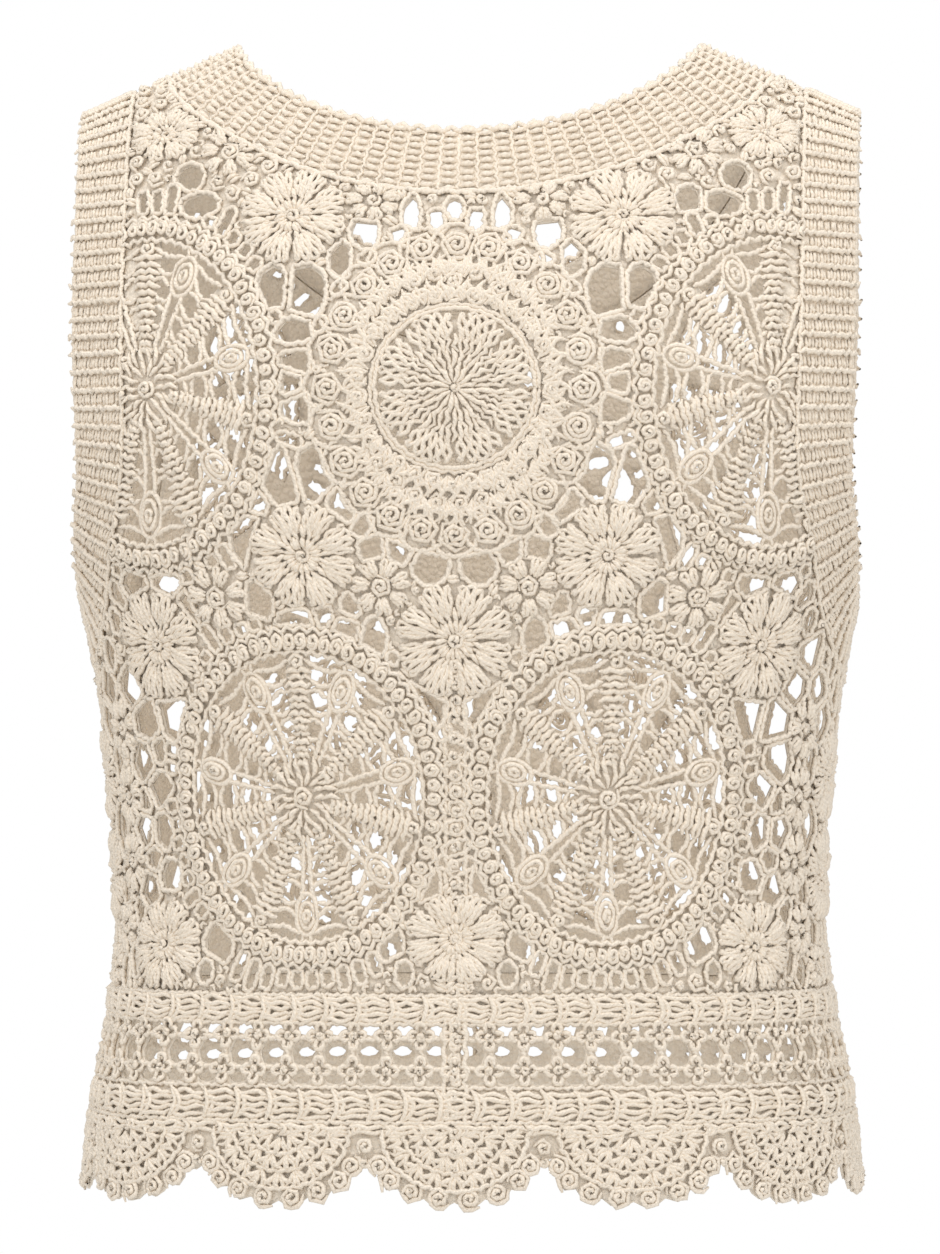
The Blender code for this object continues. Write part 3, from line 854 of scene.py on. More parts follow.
def swept_mesh(name: str, skein: Skein) -> bpy.types.Object:
    """Sweeps every strand of a skein to a tube on the torso.

    Each ring is the strand's place + radius x (cosine x normal + sine x side). The radius
    swells and shrinks by turns, as stitches do, and narrows at both ends.

    Args:
        name: The piece's name.
        skein: Its strands.

    Returns:
        The mesh object, with UVs that run along and round each strand.
    """
    lines, radii, starts, tones = [], [], [], []
    rng = np.random.default_rng(len(skein.lines))
    total = 0
    for line, radius in zip(skein.lines, skein.radii):
        line = line.copy()
        line[0] += (line[0] - line[1]) * 0.3
        line[-1] += (line[-1] - line[-2]) * 0.3
        lines.append(line)
        wide = radius * (1 + STITCH_BULGE * np.cos(math.pi * np.arange(len(line))))
        wide[0] = wide[-1] = radius * 0.45
        radii.append(wide)
        starts.append(total)
        total += len(wide)
        tones.append(np.full(len(wide), rng.random()))
    starts = np.array(starts + [total])
    lines = np.concatenate(lines)
    radii = np.concatenate(radii)
    tones = np.concatenate(tones)
    centre, normal = skein.side.place(lines[:, :2], lines[:, 2])
    strand = np.repeat(np.arange(len(starts) - 1), np.diff(starts))
    index = np.arange(total)
    before = np.maximum(index - 1, starts[strand])
    after = np.minimum(index + 1, starts[strand + 1] - 1)
    along = centre[after] - centre[before]
    along /= np.maximum(np.linalg.norm(along, axis=1, keepdims=True), 1e-9)
    aside = np.cross(along, normal)
    aside /= np.maximum(np.linalg.norm(aside, axis=1, keepdims=True), 1e-9)
    normal = np.cross(aside, along)
    turn = (TAU * np.arange(TUBE_SIDES) / TUBE_SIDES)[None, :, None]
    ring = np.cos(turn) * normal[:, None] + np.sin(turn) * aside[:, None]
    points = centre[:, None] + ring * radii[:, None, None]
    joined = np.flatnonzero(strand[1:] == strand[:-1])
    near = joined[:, None] * TUBE_SIDES + np.arange(TUBE_SIDES)
    near_next = joined[:, None] * TUBE_SIDES + (np.arange(TUBE_SIDES) + 1) % TUBE_SIDES
    faces = np.stack([near, near + TUBE_SIDES, near_next + TUBE_SIDES, near_next], -1)
    steps = np.linalg.norm(np.diff(centre, axis=0), axis=1)
    run = np.concatenate([[0], np.cumsum(steps)]) / PLY_PITCH
    around = np.arange(TUBE_SIDES + 1) / TUBE_SIDES
    corner_run = np.stack([run[joined], run[joined + 1], run[joined + 1], run[joined]], -1)
    corner_round = np.stack([around[:-1], around[:-1], around[1:], around[1:]], -1)
    uv = np.empty((len(joined), TUBE_SIDES, 4, 2))
    uv[..., 0] = corner_run[:, None]
    uv[..., 1] = corner_round[None]
    tone = np.repeat(tones, TUBE_SIDES)
    return mesh_object(name, points.reshape(-1, 3), faces.reshape(-1, 4), uv.reshape(-1, 2), tone)


def mesh_object(
    name: str, points: Array, faces: Array, uv: Array | None, tone: Array | None
) -> bpy.types.Object:
    """Makes a smooth mesh object from arrays in millimetres.

    Args:
        name: The piece's name.
        points: Its points.
        faces: Rows of corners, all of one count.
        uv: A UV for each corner, if it has them.
        tone: A tone for each point, if it has them.

    Returns:
        The linked object.
    """
    mesh = bpy.data.meshes.new(name)
    corners = faces.shape[1]
    mesh.vertices.add(len(points))
    mesh.vertices.foreach_set("co", (points * MM).astype(np.float32).ravel())
    mesh.loops.add(faces.size)
    mesh.loops.foreach_set("vertex_index", faces.astype(np.int32).ravel())
    mesh.polygons.add(len(faces))
    mesh.polygons.foreach_set("loop_start", np.arange(0, faces.size, corners, dtype=np.int32))
    mesh.polygons.foreach_set("use_smooth", np.ones(len(faces), dtype=bool))
    if uv is not None:
        layer = mesh.uv_layers.new(name="along")
        layer.uv.foreach_set("vector", uv.astype(np.float32).ravel())
    if tone is not None:
        attribute = mesh.attributes.new("tone", "FLOAT", "POINT")
        attribute.data.foreach_set("value", tone.astype(np.float32))
    mesh.update(calc_edges=True)
    made = bpy.data.objects.new(name, mesh)
    bpy.context.scene.collection.objects.link(made)
    LOG.info("%s: %d triangles", name, len(faces) * (corners - 2))
    return made


@dataclass
class Panel:
    """One flat piece of lace: its outline, its motifs, and what is open in it."""

    side: Side
    outline: Array
    motifs: list[Motif] = field(default_factory=list)
    gaps: list[Motif] = field(default_factory=list)
    cells: list[Array] = field(default_factory=list)
    holes: list[Array] = field(default_factory=list)

    def room(self, places: Array) -> Array:
        """How far places in the chain ground lie from every motif, gap and edge.

        Args:
            places: Rows of across and up.

        Returns:
            The distances, negative where there is no ground.
        """
        nearest = np.full(len(places), np.inf)
        for motif in self.motifs:
            nearest = np.minimum(nearest, motif.distance(places))
        for cell in self.cells:
            apart = np.linalg.norm(places - cell.mean(axis=0), axis=1)
            close = np.flatnonzero(apart < ROOM_REACH)
            reach = edge_distance(cell, places[close]) - YARN
            reach[inside(cell, places[close])] = -1
            nearest[close] = np.minimum(nearest[close], reach)
        nearest[~inside(self.outline, places)] = -1
        free = nearest > 0
        nearest[free] = np.minimum(nearest[free], edge_distance(self.outline, places[free]))
        return nearest

    def within(self, line: Array) -> Array:
        """Which points of a strand lie inside the outline."""
        return inside(self.outline, line[:, :2])

    def fits(self, gap: Motif) -> bool:
        """Whether a gap's middle lies clear of every motif and of the edge.

        Args:
            gap: The gap.

        Returns:
            True if it does.
        """
        middle = np.array([[gap.across, gap.up]])
        clear = min(float(motif.distance(middle)[0]) for motif in self.motifs)
        return clear > 1.5 and float(edge_distance(self.outline, middle)[0]) > 6

    def grid(self, step: float) -> Array:
        """Places every `step` over the outline's box, alike on both sides of the middle.

        Args:
            step: How far apart.

        Returns:
            Rows of across and up.
        """
        low = self.outline.min(axis=0)
        high = self.outline.max(axis=0)
        middle = np.arange(step / 2, high[0], step)
        columns = np.concatenate([-middle[::-1], middle])
        rows = np.arange(low[1], high[1], step)
        return np.stack(np.meshgrid(columns, rows), -1).reshape(-1, 2)

    def fill_gaps(self, bare: Callable[[Array], Array]) -> None:
        """Adds gaps of the chain ground, each time where the most room is left.

        Args:
            bare: Which places get no gap.
        """
        places = self.grid(GROUND_STEP)
        places = places[inside(self.outline, places)]
        room = edge_distance(self.outline, places) - BAR_BETWEEN_GAPS
        for motif in self.motifs:
            room = np.minimum(room, motif.distance(places) - 1.0)
        for gap in self.gaps:
            room = np.minimum(room, gap.distance(places) - BAR_BETWEEN_GAPS)
        for cell in self.cells:
            near = np.flatnonzero(np.linalg.norm(places - cell.mean(axis=0), axis=1) < FILL_REACH)
            reach = edge_distance(cell, places[near]) - YARN
            room[near] = np.minimum(room[near], np.where(inside(cell, places[near]), 0, reach))
        room = np.minimum(room, np.where(bare(places), 0, LARGEST_GAP))
        while room.max() > SMALLEST_GAP:
            best = int(np.argmax(np.round(room, 3)))
            radius = float(room[best])
            self.gaps.append(Motif(*places[best], 0.85 * radius, 1.15 * radius))
            apart = np.linalg.norm(places - places[best], axis=1)
            room = np.minimum(room, apart - radius - BAR_BETWEEN_GAPS)

    def shape_gaps(self) -> None:
        """Turns each gap into a net cell with straight sides, and opens its middle."""
        rim_cells = list(self.cells)
        for gap in self.gaps:
            cell = self.cell_of(gap, rim_cells)
            middle = np.array([gap.across, gap.up])
            self.cells.append(cell)
            inner = max(1 - HOLE_INSET / min(gap.half_width, gap.half_height), 0.5)
            self.holes.append(middle + (cell - middle) * inner)

    def rim_gaps(self, motif: Motif, count: int, half: float, start: float) -> None:
        """Adds narrow gaps that stand round a motif's rim, where nothing else is.

        Each is a rounded box: its cosine and sine to the power SQUARENESS, signs kept.

        Args:
            motif: The motif they stand round.
            count: How many there are if all find room.
            half: Half their width.
            start: How far beyond the rim they begin.
        """
        mean = (motif.half_width + motif.half_height) / 2
        around = TAU * (np.arange(RIM_CORNERS) + 0.5) / RIM_CORNERS
        rise = np.sign(np.sin(around)) * np.abs(np.sin(around)) ** SQUARENESS
        aside_share = np.sign(np.cos(around)) * np.abs(np.cos(around)) ** SQUARENESS
        for index in range(count):
            turn = TAU * (index + 0.5) / count
            for length in RIM_GAP_LENGTHS:
                middle = motif.at(turn, 1 + (length + start) / mean)[None]
                if self.clearance(middle, motif) > 0.85 * length:
                    for inset, kept in ((0.0, self.cells), (HOLE_INSET, self.holes)):
                        reach = length + start + (length - inset) * rise
                        aside = (half - inset) * aside_share
                        kept.append(motif.beside(turn, 1 + reach / mean, aside))
                    break

    def clearance(self, middle: Array, owner: Motif) -> float:
        """How far one place lies from the edge and from all but the motif that owns it.

        Args:
            middle: The place.
            owner: The motif.

        Returns:
            The least distance.
        """
        if not inside(self.outline, middle).all():
            return -1.0
        found = [float(edge_distance(self.outline, middle)[0]) - 1]
        found += [float(m.distance(middle)[0]) for m in self.motifs if m is not owner]
        found += [float(gap.distance(middle)[0]) - 2 for gap in self.gaps]
        for cell in self.cells:
            if np.linalg.norm(cell.mean(axis=0) - middle[0]) < RIM_REACH:
                found.append(float(edge_distance(cell, middle)[0]) + 1)
        return min(found)

    def cell_of(self, gap: Motif, rim_cells: Sequence[Array]) -> Array:
        """The many-sided chain loop round one gap: its oval, cut back by gaps and motifs near it.

        Args:
            gap: The gap.
            rim_cells: The loops of the gaps round the wheels.

        Returns:
            The loop's corners.
        """
        turns = TAU * (np.arange(CELL_SIDES) + 0.3) / CELL_SIDES
        middle = np.array([gap.across, gap.up])
        cell = gap.at(turns, CELL_REACH)
        for other in self.gaps:
            offset = np.array([other.across, other.up]) - middle
            apart = float(np.linalg.norm(offset))
            if 0 < apart < GAP_REACH:
                way = offset / apart
                own = 1 / math.hypot(way[0] / gap.half_width, way[1] / gap.half_height)
                their = 1 / math.hypot(way[0] / other.half_width, way[1] / other.half_height)
                cell = clipped(cell, middle, way, own + (apart - own - their) / 2 - 0.9)
        for rim_cell in rim_cells:
            way = rim_cell.mean(axis=0) - middle
            if np.linalg.norm(way) < FILL_REACH:
                apart = float(edge_distance(rim_cell, middle[None])[0])
                cell = clipped(cell, middle, way / np.linalg.norm(way), apart - 0.3)
        for motif in self.motifs:
            apart = float(motif.distance(middle[None])[0])
            if apart < FILL_REACH:
                size = np.array([motif.half_width, motif.half_height], float)
                way = (np.array([motif.across, motif.up]) - middle) / size**2
                cell = clipped(cell, middle, way / np.linalg.norm(way), apart - 0.8)
        if len(cell) < 4 or not inside(self.outline, cell).all():
            return gap.at(turns, 1.0)
        return cell

    def packed(self) -> list[tuple[Array, float]]:
        """Circles that fill what ground is left, each time where the most room is.

        Returns:
            Their middles and radii, largest first.
        """
        places = self.grid(CURL_GRID)
        room = np.minimum(self.room(places), LARGEST_CURL)
        near = room > LEAST_CURL
        places, room = places[near], room[near]
        found = []
        while len(room) and room.max() > LEAST_CURL:
            best = int(np.argmax(room))
            radius = float(room[best])
            found.append((places[best], radius))
            apart = np.linalg.norm(places - places[best], axis=1)
            room = np.minimum(room, apart - radius)
            near = room > LEAST_CURL
            places, room = places[near], room[near]
        return found

    def base(self, name: str) -> bpy.types.Object:
        """The thin close cloth under the strands: a flat net round its holes, in two layers.

        Args:
            name: The piece's name.

        Returns:
            The mesh object.
        """
        holes = [hole for hole in self.holes if inside(self.outline, hole).all()]
        loops = [self.outline] + holes
        grid = self.grid(BASE_GRID)
        grid = grid[inside(self.outline, grid)]
        grid = grid[edge_distance(self.outline, grid) > 2]
        for hole in holes:
            grid = grid[~inside(hole, grid)]
            grid = grid[edge_distance(hole, grid) > 1.5]
        corners = [Vector(point) for loop in loops for point in loop]
        edges = []
        start = 0
        for loop in loops:
            edges += [(start + i, start + (i + 1) % len(loop)) for i in range(len(loop))]
            start += len(loop)
        corners += [Vector(point) for point in grid]
        verts, _, faces, _, _, _ = delaunay_2d_cdt(corners, edges, [], 0, 1e-5)
        places = np.array([tuple(v) for v in verts])
        faces = np.array([tuple(f) for f in faces])
        centres = places[faces].mean(axis=1)
        keep = inside(self.outline, centres)
        for hole in holes:
            keep &= ~inside(hole, centres)
        faces = faces[keep]
        face, _ = self.side.place(places, BASE_FACE)
        back, _ = self.side.place(places, BASE_BACK)
        count = len(places)
        directed = {(int(f[i]), int(f[(i + 1) % 3])) for f in faces for i in range(3)}
        rims = sorted((a, b) for a, b in directed if (b, a) not in directed)
        rim_faces = [(b, a, a + count) for a, b in rims]
        rim_faces += [(b, a + count, b + count) for a, b in rims]
        all_faces = np.concatenate([faces, faces[:, ::-1] + count, np.array(rim_faces)])
        if self.side.sign > 0:
            all_faces = all_faces[:, ::-1]
        return mesh_object(name, np.concatenate([face, back]), all_faces, None, None)


def clipped(polygon: Array, middle: Array, way: Array, reach: float) -> Array:
    """Cuts a polygon with one straight line, and keeps the middle's side of it.

    Args:
        polygon: Its corners.
        middle: The place that the line is measured from.
        way: The line's normal.
        reach: How far off it lies.

    Returns:
        The corners left.
    """
    beyond = (polygon - middle) @ way - reach
    kept = []
    for index, (here, excess) in enumerate(zip(polygon, beyond)):
        after = (index + 1) % len(polygon)
        if excess <= 0:
            kept.append(here)
        if excess * beyond[after] < 0:
            share = excess / (excess - beyond[after])
            kept.append(here + share * (polygon[after] - here))
    return np.array(kept).reshape(-1, 2)


def draw_flower(skein: Skein, motif: Motif) -> None:
    """A flower: eight puffed petals of fanned strands, a close ring and a spiral heart.

    Args:
        skein: Where the strands go.
        motif: The flower's place and size.
    """
    large = motif.half_width > 18
    strands = 8 if large else 6
    for petal in range(PETALS):
        turn = TAU * (petal + 0.5) / PETALS
        skein.fan(motif, turn, 0.36, (0.46, 0.99), strands, 1.9)
    rays = 22 if large else 14
    for near, far in ((0.15, 0.36), (0.33, 0.58)):
        for strand in range(rays):
            turn = TAU * (strand + near) / rays + 0.07 * np.sin(np.arange(4) + strand)
            line = motif.at(turn, np.linspace(near, far, 4))
            skein.add(lifted(line, np.array([0.6, 1.3, 1.4, 0.6]) + 0.3 * (strand % 2)))
    skein.spiral((motif.across, motif.up), max(0.2 * motif.half_width, 3.0))


def draw_bud(skein: Skein, motif: Motif) -> None:
    """A small flower: a rosette with a round of short petals.

    Args:
        skein: Where the strands go.
        motif: The small flower's place and size.
    """
    radius = min(motif.half_width, motif.half_height)
    skein.spiral((motif.across, motif.up), 0.5 * radius)
    for petal in range(BUD_PETALS):
        skein.fan(motif, TAU * petal / BUD_PETALS + 0.3, 0.34, (0.46, 1.0), 4, 1.5)


def draw_wheel(skein: Skein, motif: Motif, phase: float) -> None:
    """A wheel: a ring of oval blocks round solid spokes, leaves and chain net.

    Args:
        skein: Where the strands go.
        motif: The wheel's place and size.
        phase: How far round its solid spokes are turned, in steps between two spokes.
    """
    share = np.linspace(0, 1, 13)
    wound = TAU * 1.5 * share
    for block in range(WHEEL_BLOCKS):
        turn = TAU * block / WHEEL_BLOCKS
        size = (0.3 + 0.7 * share) * skein.rng.uniform(0.9, 1.1)
        start = skein.rng.uniform(0, TAU)
        reach = WHEEL_RING + BLOCK_OUT * size * np.sin(wound + start) / motif.half_height
        places = motif.beside(turn, reach, BLOCK_ALONG * size * np.cos(wound + start))
        skein.add(lifted(places, 2.2 - 0.9 * share))
    rim = np.linspace(0, TAU, 4 * WHEEL_BLOCKS + 1)
    for radius, bump, height in ((0.856, 0.01, 0.9), (0.988, 0.016, 0.9)):
        places = motif.at(rim, radius + bump * np.cos(WHEEL_BLOCKS * rim))
        skein.add(lifted(places, height + 0.3 * np.sin(WHEEL_BLOCKS * rim)))
    hub = Motif(motif.across, motif.up, 0.2 * motif.half_width, 0.2 * motif.half_height)
    skein.spiral((motif.across, motif.up), 0.45 * hub.half_width)
    for near, far, rays in ((0.4, 0.8, 14), (0.72, 1.2, 22)):
        for strand in range(rays):
            turn = TAU * strand / rays + 0.1 * np.sin(np.arange(4) + strand)
            line = hub.at(turn, np.linspace(near, far, 4))
            skein.add(lifted(line, [0.5, 1.1, 1.1, 0.4]))
    for spoke in range(SPOKES):
        draw_solid_spoke(skein, motif, TAU * (0.25 + (spoke + phase) / SPOKES))
        draw_leaf_spoke(skein, motif, TAU * (0.25 + (spoke + phase + 0.5) / SPOKES))


def spoke_half(radius: Array | float) -> Array | float:
    """Half a solid spoke's width, which grows evenly with the share of the wheel's radius."""
    return SPOKE_NARROW + SPOKE_WIDENS * (np.asarray(radius) - SPOKE_START) / SPOKE_SPAN


def draw_solid_spoke(skein: Skein, motif: Motif, turn: float) -> None:
    """A spoke of close bars that widens outwards and ends in a small rosette.

    Args:
        skein: Where the strands go.
        motif: The wheel.
        turn: The spoke's turn.
    """
    step = np.linspace(-1, 1, 7)
    gap = SPOKE_SPAN / SPOKE_ROWS
    for row in range(SPOKE_ROWS):
        radius = 0.18 + gap * (row + 0.5)
        half = spoke_half(radius) * skein.rng.uniform(0.8, 1.12)
        wave = 0.2 * gap * np.sin(7 * step + skein.rng.uniform(0, TAU))
        line = motif.beside(turn, radius + wave + 0.25 * gap * (1 - step**2), half * step)
        skein.add(lifted(line, 0.9 - 0.8 * step**2 + 0.25 * (row % 2)), SPOKE_YARN)
    skein.spiral(tuple(motif.at(turn, 0.8)), 4.4)


def draw_leaf_spoke(skein: Skein, motif: Motif, turn: float) -> None:
    """A spoke of chain with a leaf near its end, and the rungs that hold it on both sides.

    Args:
        skein: Where the strands go.
        motif: The wheel.
        turn: The spoke's turn.
    """
    share = np.linspace(0, 1, 7)
    for aside in (-1, 1):
        stem = motif.beside(turn, 0.22 + 0.36 * share, aside * (1.2 + 1.2 * share))
        skein.add(wavy(lifted(stem, 0.2), 0.35, 4.0, aside))
        tip = motif.beside(turn, 0.8 + 0.06 * share, aside * (1.2 + 1.4 * share))
        skein.add(lifted(tip, 0.2), THIN_YARN)
    round_turn = np.linspace(0, TAU, 15)
    for ring, height in ((1.0, 0.3), (0.62, 0.8), (0.24, 1.2)):
        aside = LEAF_HALF * ring * np.cos(round_turn)
        reach = LEAF_PLACE + (0.125 * ring) * np.sin(round_turn)
        skein.add(lifted(motif.beside(turn, reach, aside), height))
    half_step = TAU * 0.5 / SPOKES
    for aside in (-1, 1):
        far_turn = turn + aside * half_step
        for rung, radius in enumerate(RUNGS):
            leaf_half = 1.6 + 2.0 * radius if radius < 0.57 else LEAF_HALF
            start = motif.beside(turn, radius, aside * leaf_half)
            kink = -1 if rung % 2 else 1
            reach = spoke_half(radius) - 0.4
            end = motif.beside(far_turn, radius + 0.015 * kink, -aside * reach)
            middle = (start + end) / 2
            middle += (middle - (motif.across, motif.up)) * 0.04 * kink
            line = np.array([start, middle, end])
            skein.add(wavy(lifted(line, 0.0), 0.3, 3.4, rung))
        start = motif.at(turn + aside * 0.06, 0.8)
        end = motif.at(turn + aside * (half_step - 0.07), 0.81)
        middle = motif.at(turn + aside * half_step * 0.5, 0.77)
        skein.add(wavy(lifted(np.array([start, middle, end]), 0.1), 0.3, 3.4))


def medallion_parts(motif: Motif) -> list[Motif]:
    """A medallion's disc, and the rosettes round its edge.

    Args:
        motif: The medallion.

    Returns:
        The disc first, then each rosette.
    """
    scale = motif.half_width / BACK_MEDALLION.half_width
    count = MEDALLION_ROSETTES if scale > 0.9 else MEDALLION_ROSETTES - 5
    size = ROSETTE_SIZE * max(scale, 0.85)
    width, height = DISC_SHARE
    disc = replace(
        motif, half_width=width * motif.half_width, half_height=height * motif.half_height
    )
    places = motif.at(TAU * np.arange(count) / count, ROSETTE_RING)
    return [disc, *(Motif(float(place[0]), float(place[1]), size, size) for place in places)]


def wheel_holes(motif: Motif, phase: float) -> list[Array]:
    """The openings of a wheel's base, one between each two solid spokes.

    Args:
        motif: The wheel.
        phase: How far round its spokes are turned, in steps.

    Returns:
        The holes' corners.
    """
    holes = []
    steps = np.linspace(0, 1, 7)
    for spoke in range(SPOKES):
        left = TAU * (0.25 + (spoke + phase) / SPOKES)
        right = left + TAU / SPOKES
        radii = np.array([0.25, 0.5, 0.72])
        aside = spoke_half(radii) - 0.7
        out = motif.beside(left, radii, aside)
        back = motif.beside(right, radii[::-1], -aside[::-1])
        rim = motif.at(left + 0.1 + (right - left - 0.2) * steps, 0.865)
        holes.append(np.concatenate([out, rim, back]))
    return holes


def draw_medallion(skein: Skein, motif: Motif) -> None:
    """A disc of eight bundles of strands in a chain ring, then shells, then rosettes.

    Args:
        skein: Where the strands go.
        motif: The medallion.
    """
    disc, *rosettes = medallion_parts(motif)
    skein.spiral((motif.across, motif.up), 3.0)
    for rays, near, far in ((16, 0.08, 0.28), (30, 0.25, 0.45), (46, 0.42, 0.62)):
        share = np.linspace(0, 1, 4)
        for strand in range(rays):
            turn = TAU * (strand + 0.5) / rays + 0.05 * np.sin(8 * share + strand)
            line = disc.at(turn, near + (far - near) * share)
            skein.add(lifted(line, 0.7 + 0.3 * (strand % 2) + 0.4 * np.sin(math.pi * share)))
    for petal in range(PETALS):
        skein.fan(disc, TAU * (petal + 0.5) / PETALS, 0.37, (0.58, 0.9), 10)
    turn = np.linspace(0, TAU, 161)
    for radius, height in ((0.95, 0.6), (1.0, 0.2)):
        skein.add(lifted(disc.at(turn, radius + 0.009 * np.cos(40 * turn)), height))
    for index, rosette in enumerate(rosettes):
        skein.spiral((rosette.across, rosette.up), rosette.half_width)
        place = np.array([rosette.across, rosette.up])
        facing = math.atan2(rosette.up - motif.up, rosette.across - motif.across)
        arc = facing + np.linspace(-1.7, 1.7, 16)
        loop = place + (rosette.half_width + 1.5) * np.stack([np.cos(arc), np.sin(arc)], axis=-1)
        skein.add(wavy(lifted(loop, 0.2), 0.4, 3.2, index))
        for shift in (0.25, 0.75):
            out = TAU * (index + shift) / len(rosettes)
            foot = disc.at(out, 1.03)
            way = motif.at(out, 0.9) - foot
            length = float(np.hypot(*way)) - 0.72 * rosette.half_width
            rounds = max(1, round(length / SHELL_LENGTH))
            facing = math.atan2(way[1], way[0])
            way = way / np.hypot(*way)
            for part in range(rounds):
                start = foot + way * (length * part / rounds)
                skein.shell(start, facing, length / rounds + 0.8, 4 + part)


def medallion_holes(motif: Motif) -> list[Array]:
    """The narrow openings between a medallion's petals and its chain ring.

    Args:
        motif: The medallion.

    Returns:
        The holes' corners.
    """
    disc = medallion_parts(motif)[0]
    holes = []
    for petal in range(PETALS):
        turn = TAU * petal / PETALS + np.linspace(-0.26, 0.26, 6)
        reach = 0.89 - 0.09 * (1 - np.abs(np.linspace(-1, 1, 6)))
        holes.append(np.concatenate([disc.at(turn, reach), disc.at(turn[::-1], 0.925)]))
    return holes


def draw_ground(skein: Skein, panel: Panel) -> None:
    """Chain round every gap, and rosettes, loops and posts packed between the motifs.

    Args:
        skein: Where the strands go.
        panel: The flat panel.
    """
    for cell in panel.cells:
        loop = np.concatenate([cell, cell[:1]])
        line = wavy(lifted(loop, 0.3), 0.35, 3.8, cell[0, 0])
        for part in runs_of(clear_of(panel.motifs, line), line):
            skein.add(part)
    for centre, radius in panel.packed():
        choice = skein.rng.random()
        if radius > CURLS_FROM:
            skein.spiral(tuple(centre), radius + 0.5, 1.2)
        elif radius > MIXED_FROM and choice < CURL_CHANCE:
            skein.spiral(tuple(centre), radius + 0.4, 1.0)
        elif radius > POSTS_FROM:
            skein.posts(centre, skein.rng.uniform(0, TAU), radius + 0.4, 2)
        else:
            arc = skein.rng.uniform(0, TAU) + np.linspace(0, 3.4, 4)
            places = centre + radius * np.column_stack([np.cos(arc), np.sin(arc)])
            skein.add(lifted(places, skein.rng.uniform(0.0, 0.9)))


def clear_of(motifs: Iterable[Motif], line: Array) -> Array:
    """Which points of a strand lie off all the motifs, or no deeper than their edge.

    Args:
        motifs: The motifs.
        line: The strand.

    Returns:
        True for each such point.
    """
    keep = np.ones(len(line), dtype=bool)
    for motif in motifs:
        keep &= motif.distance(line) > -1.5
    return keep


def draw_spine(skein: Skein, top: float, bottom: float) -> None:
    """The raised column down the middle: knots between two chains.

    Args:
        skein: Where the strands go.
        top: Where it starts.
        bottom: Where it ends.
    """
    ups = np.arange(top, bottom, -7.5)
    for index, up in enumerate(ups):
        skein.spiral((0.6 * math.sin(index), up), 4.1, 1.0)
    for aside in (-1, 1):
        line = np.column_stack([np.full(2, 4.4 * aside), np.array([top + 3, bottom])])
        skein.add(wavy(lifted(line, 0.2), 0.5, 7.5, aside))


def draw_neck_ribs(skein: Skein, band: BandMap) -> None:
    """The neckband: columns of short bars over the band, between two edge cords.

    Args:
        skein: Where the strands go.
        band: The band's places.
    """
    bar = np.linspace(-0.37, 0.37, 5)
    bow = 0.4 * np.cos(math.pi * bar / 0.74)
    for rib in range(band.ribs):
        for row in range(NECK_ROWS + rib % 2):
            over = band.width * (row + (0.5 if rib % 2 == 0 else 0.06)) / NECK_ROWS
            places = band.at(rib + 0.5 + bar, over + bow)
            skein.add(lifted(places, 1.0 - 1.5 * (bar / 0.37) ** 2), THICK_YARN)
        over = np.linspace(0.5, band.width - 0.5, 14)
        groove = band.at(rib + 0.07 * np.cos(np.arange(14) * math.pi), over)
        skein.add(lifted(groove, -0.3), THIN_YARN)
    along = np.linspace(0, band.ribs, 8 * band.ribs + 1)
    bump = np.cos(TAU * along)
    skein.add(lifted(band.at(along, -0.4 + 0.8 * bump), 0.1 - 0.3 * bump), THICK_YARN)
    skein.add(lifted(band.at(along, band.width + 0.2 + 0.35 * bump), 0.5), THICK_YARN)


def draw_arm_ribs(skein: Skein, band: BandMap) -> None:
    """An armband: wavy cords over the band, with short posts between them.

    Args:
        skein: Where the strands go.
        band: The band's places.
    """
    over = np.linspace(-1.4, band.width + 0.4, 19)
    for rib in range(band.ribs + 1):
        wave = 0.09 * np.sin(over * 1.7 + rib)
        skein.add(lifted(band.at(rib + wave, over), 1.0 + 0.3 * np.cos(over * 1.9)), THICK_YARN)
    step = np.linspace(0.16, 0.84, 4)
    for rib in range(band.ribs):
        for post in range(ARM_POSTS):
            place = band.width * (post + 0.5) / ARM_POSTS
            for aside in (-0.75, 0.75):
                places = band.at(rib + step, place + aside + 0.2 * np.sin(6 * step))
                skein.add(lifted(places, [-0.6, 0.1, 0.1, -0.6]), THIN_YARN)
    along = np.linspace(0, band.ribs, 6 * band.ribs + 1)
    for edge, height in ((0.0, -0.3), (band.width + 0.2, 0.4)):
        skein.add(lifted(band.at(along, edge + 0.3 * np.cos(TAU * along)), height))


def band_base(name: str, side: Side, band: BandMap, mirror: int) -> bpy.types.Object:
    """The thin cloth under a band's ribs: its grid in two layers, closed along its edges.

    Args:
        name: The piece's name.
        side: The side that it lies on.
        band: The band's places.
        mirror: -1 for the wearer's left.

    Returns:
        The mesh object.
    """
    rib = np.linspace(0, band.ribs, 2 * band.ribs + 1)
    over = np.linspace(0.2, band.width - 0.2, 5)
    grid = band.at(rib[:, None], over[None, :])
    rows = []
    for height in (BASE_FACE + 0.4, BASE_BACK):
        points, _ = side.place(grid.reshape(-1, 2), height)
        rows.append(points)
    points = np.concatenate(rows)
    points[:, 0] *= mirror
    across, along = len(over), len(rib)
    cell = (np.arange(along - 1)[:, None] * across + np.arange(across - 1)).ravel()
    faces = np.stack([cell, cell + 1, cell + across + 1, cell + across], -1)
    count = along * across
    under = faces[:, ::-1] + count
    rims = []
    for start in (0, across - 1):
        edge = np.arange(along - 1) * across + start
        quad = np.stack([edge, edge + across, edge + across + count, edge + count], -1)
        rims.append(quad if start == 0 else quad[:, ::-1])
    return mesh_object(name, points, np.concatenate([faces, under, *rims]), None, None)


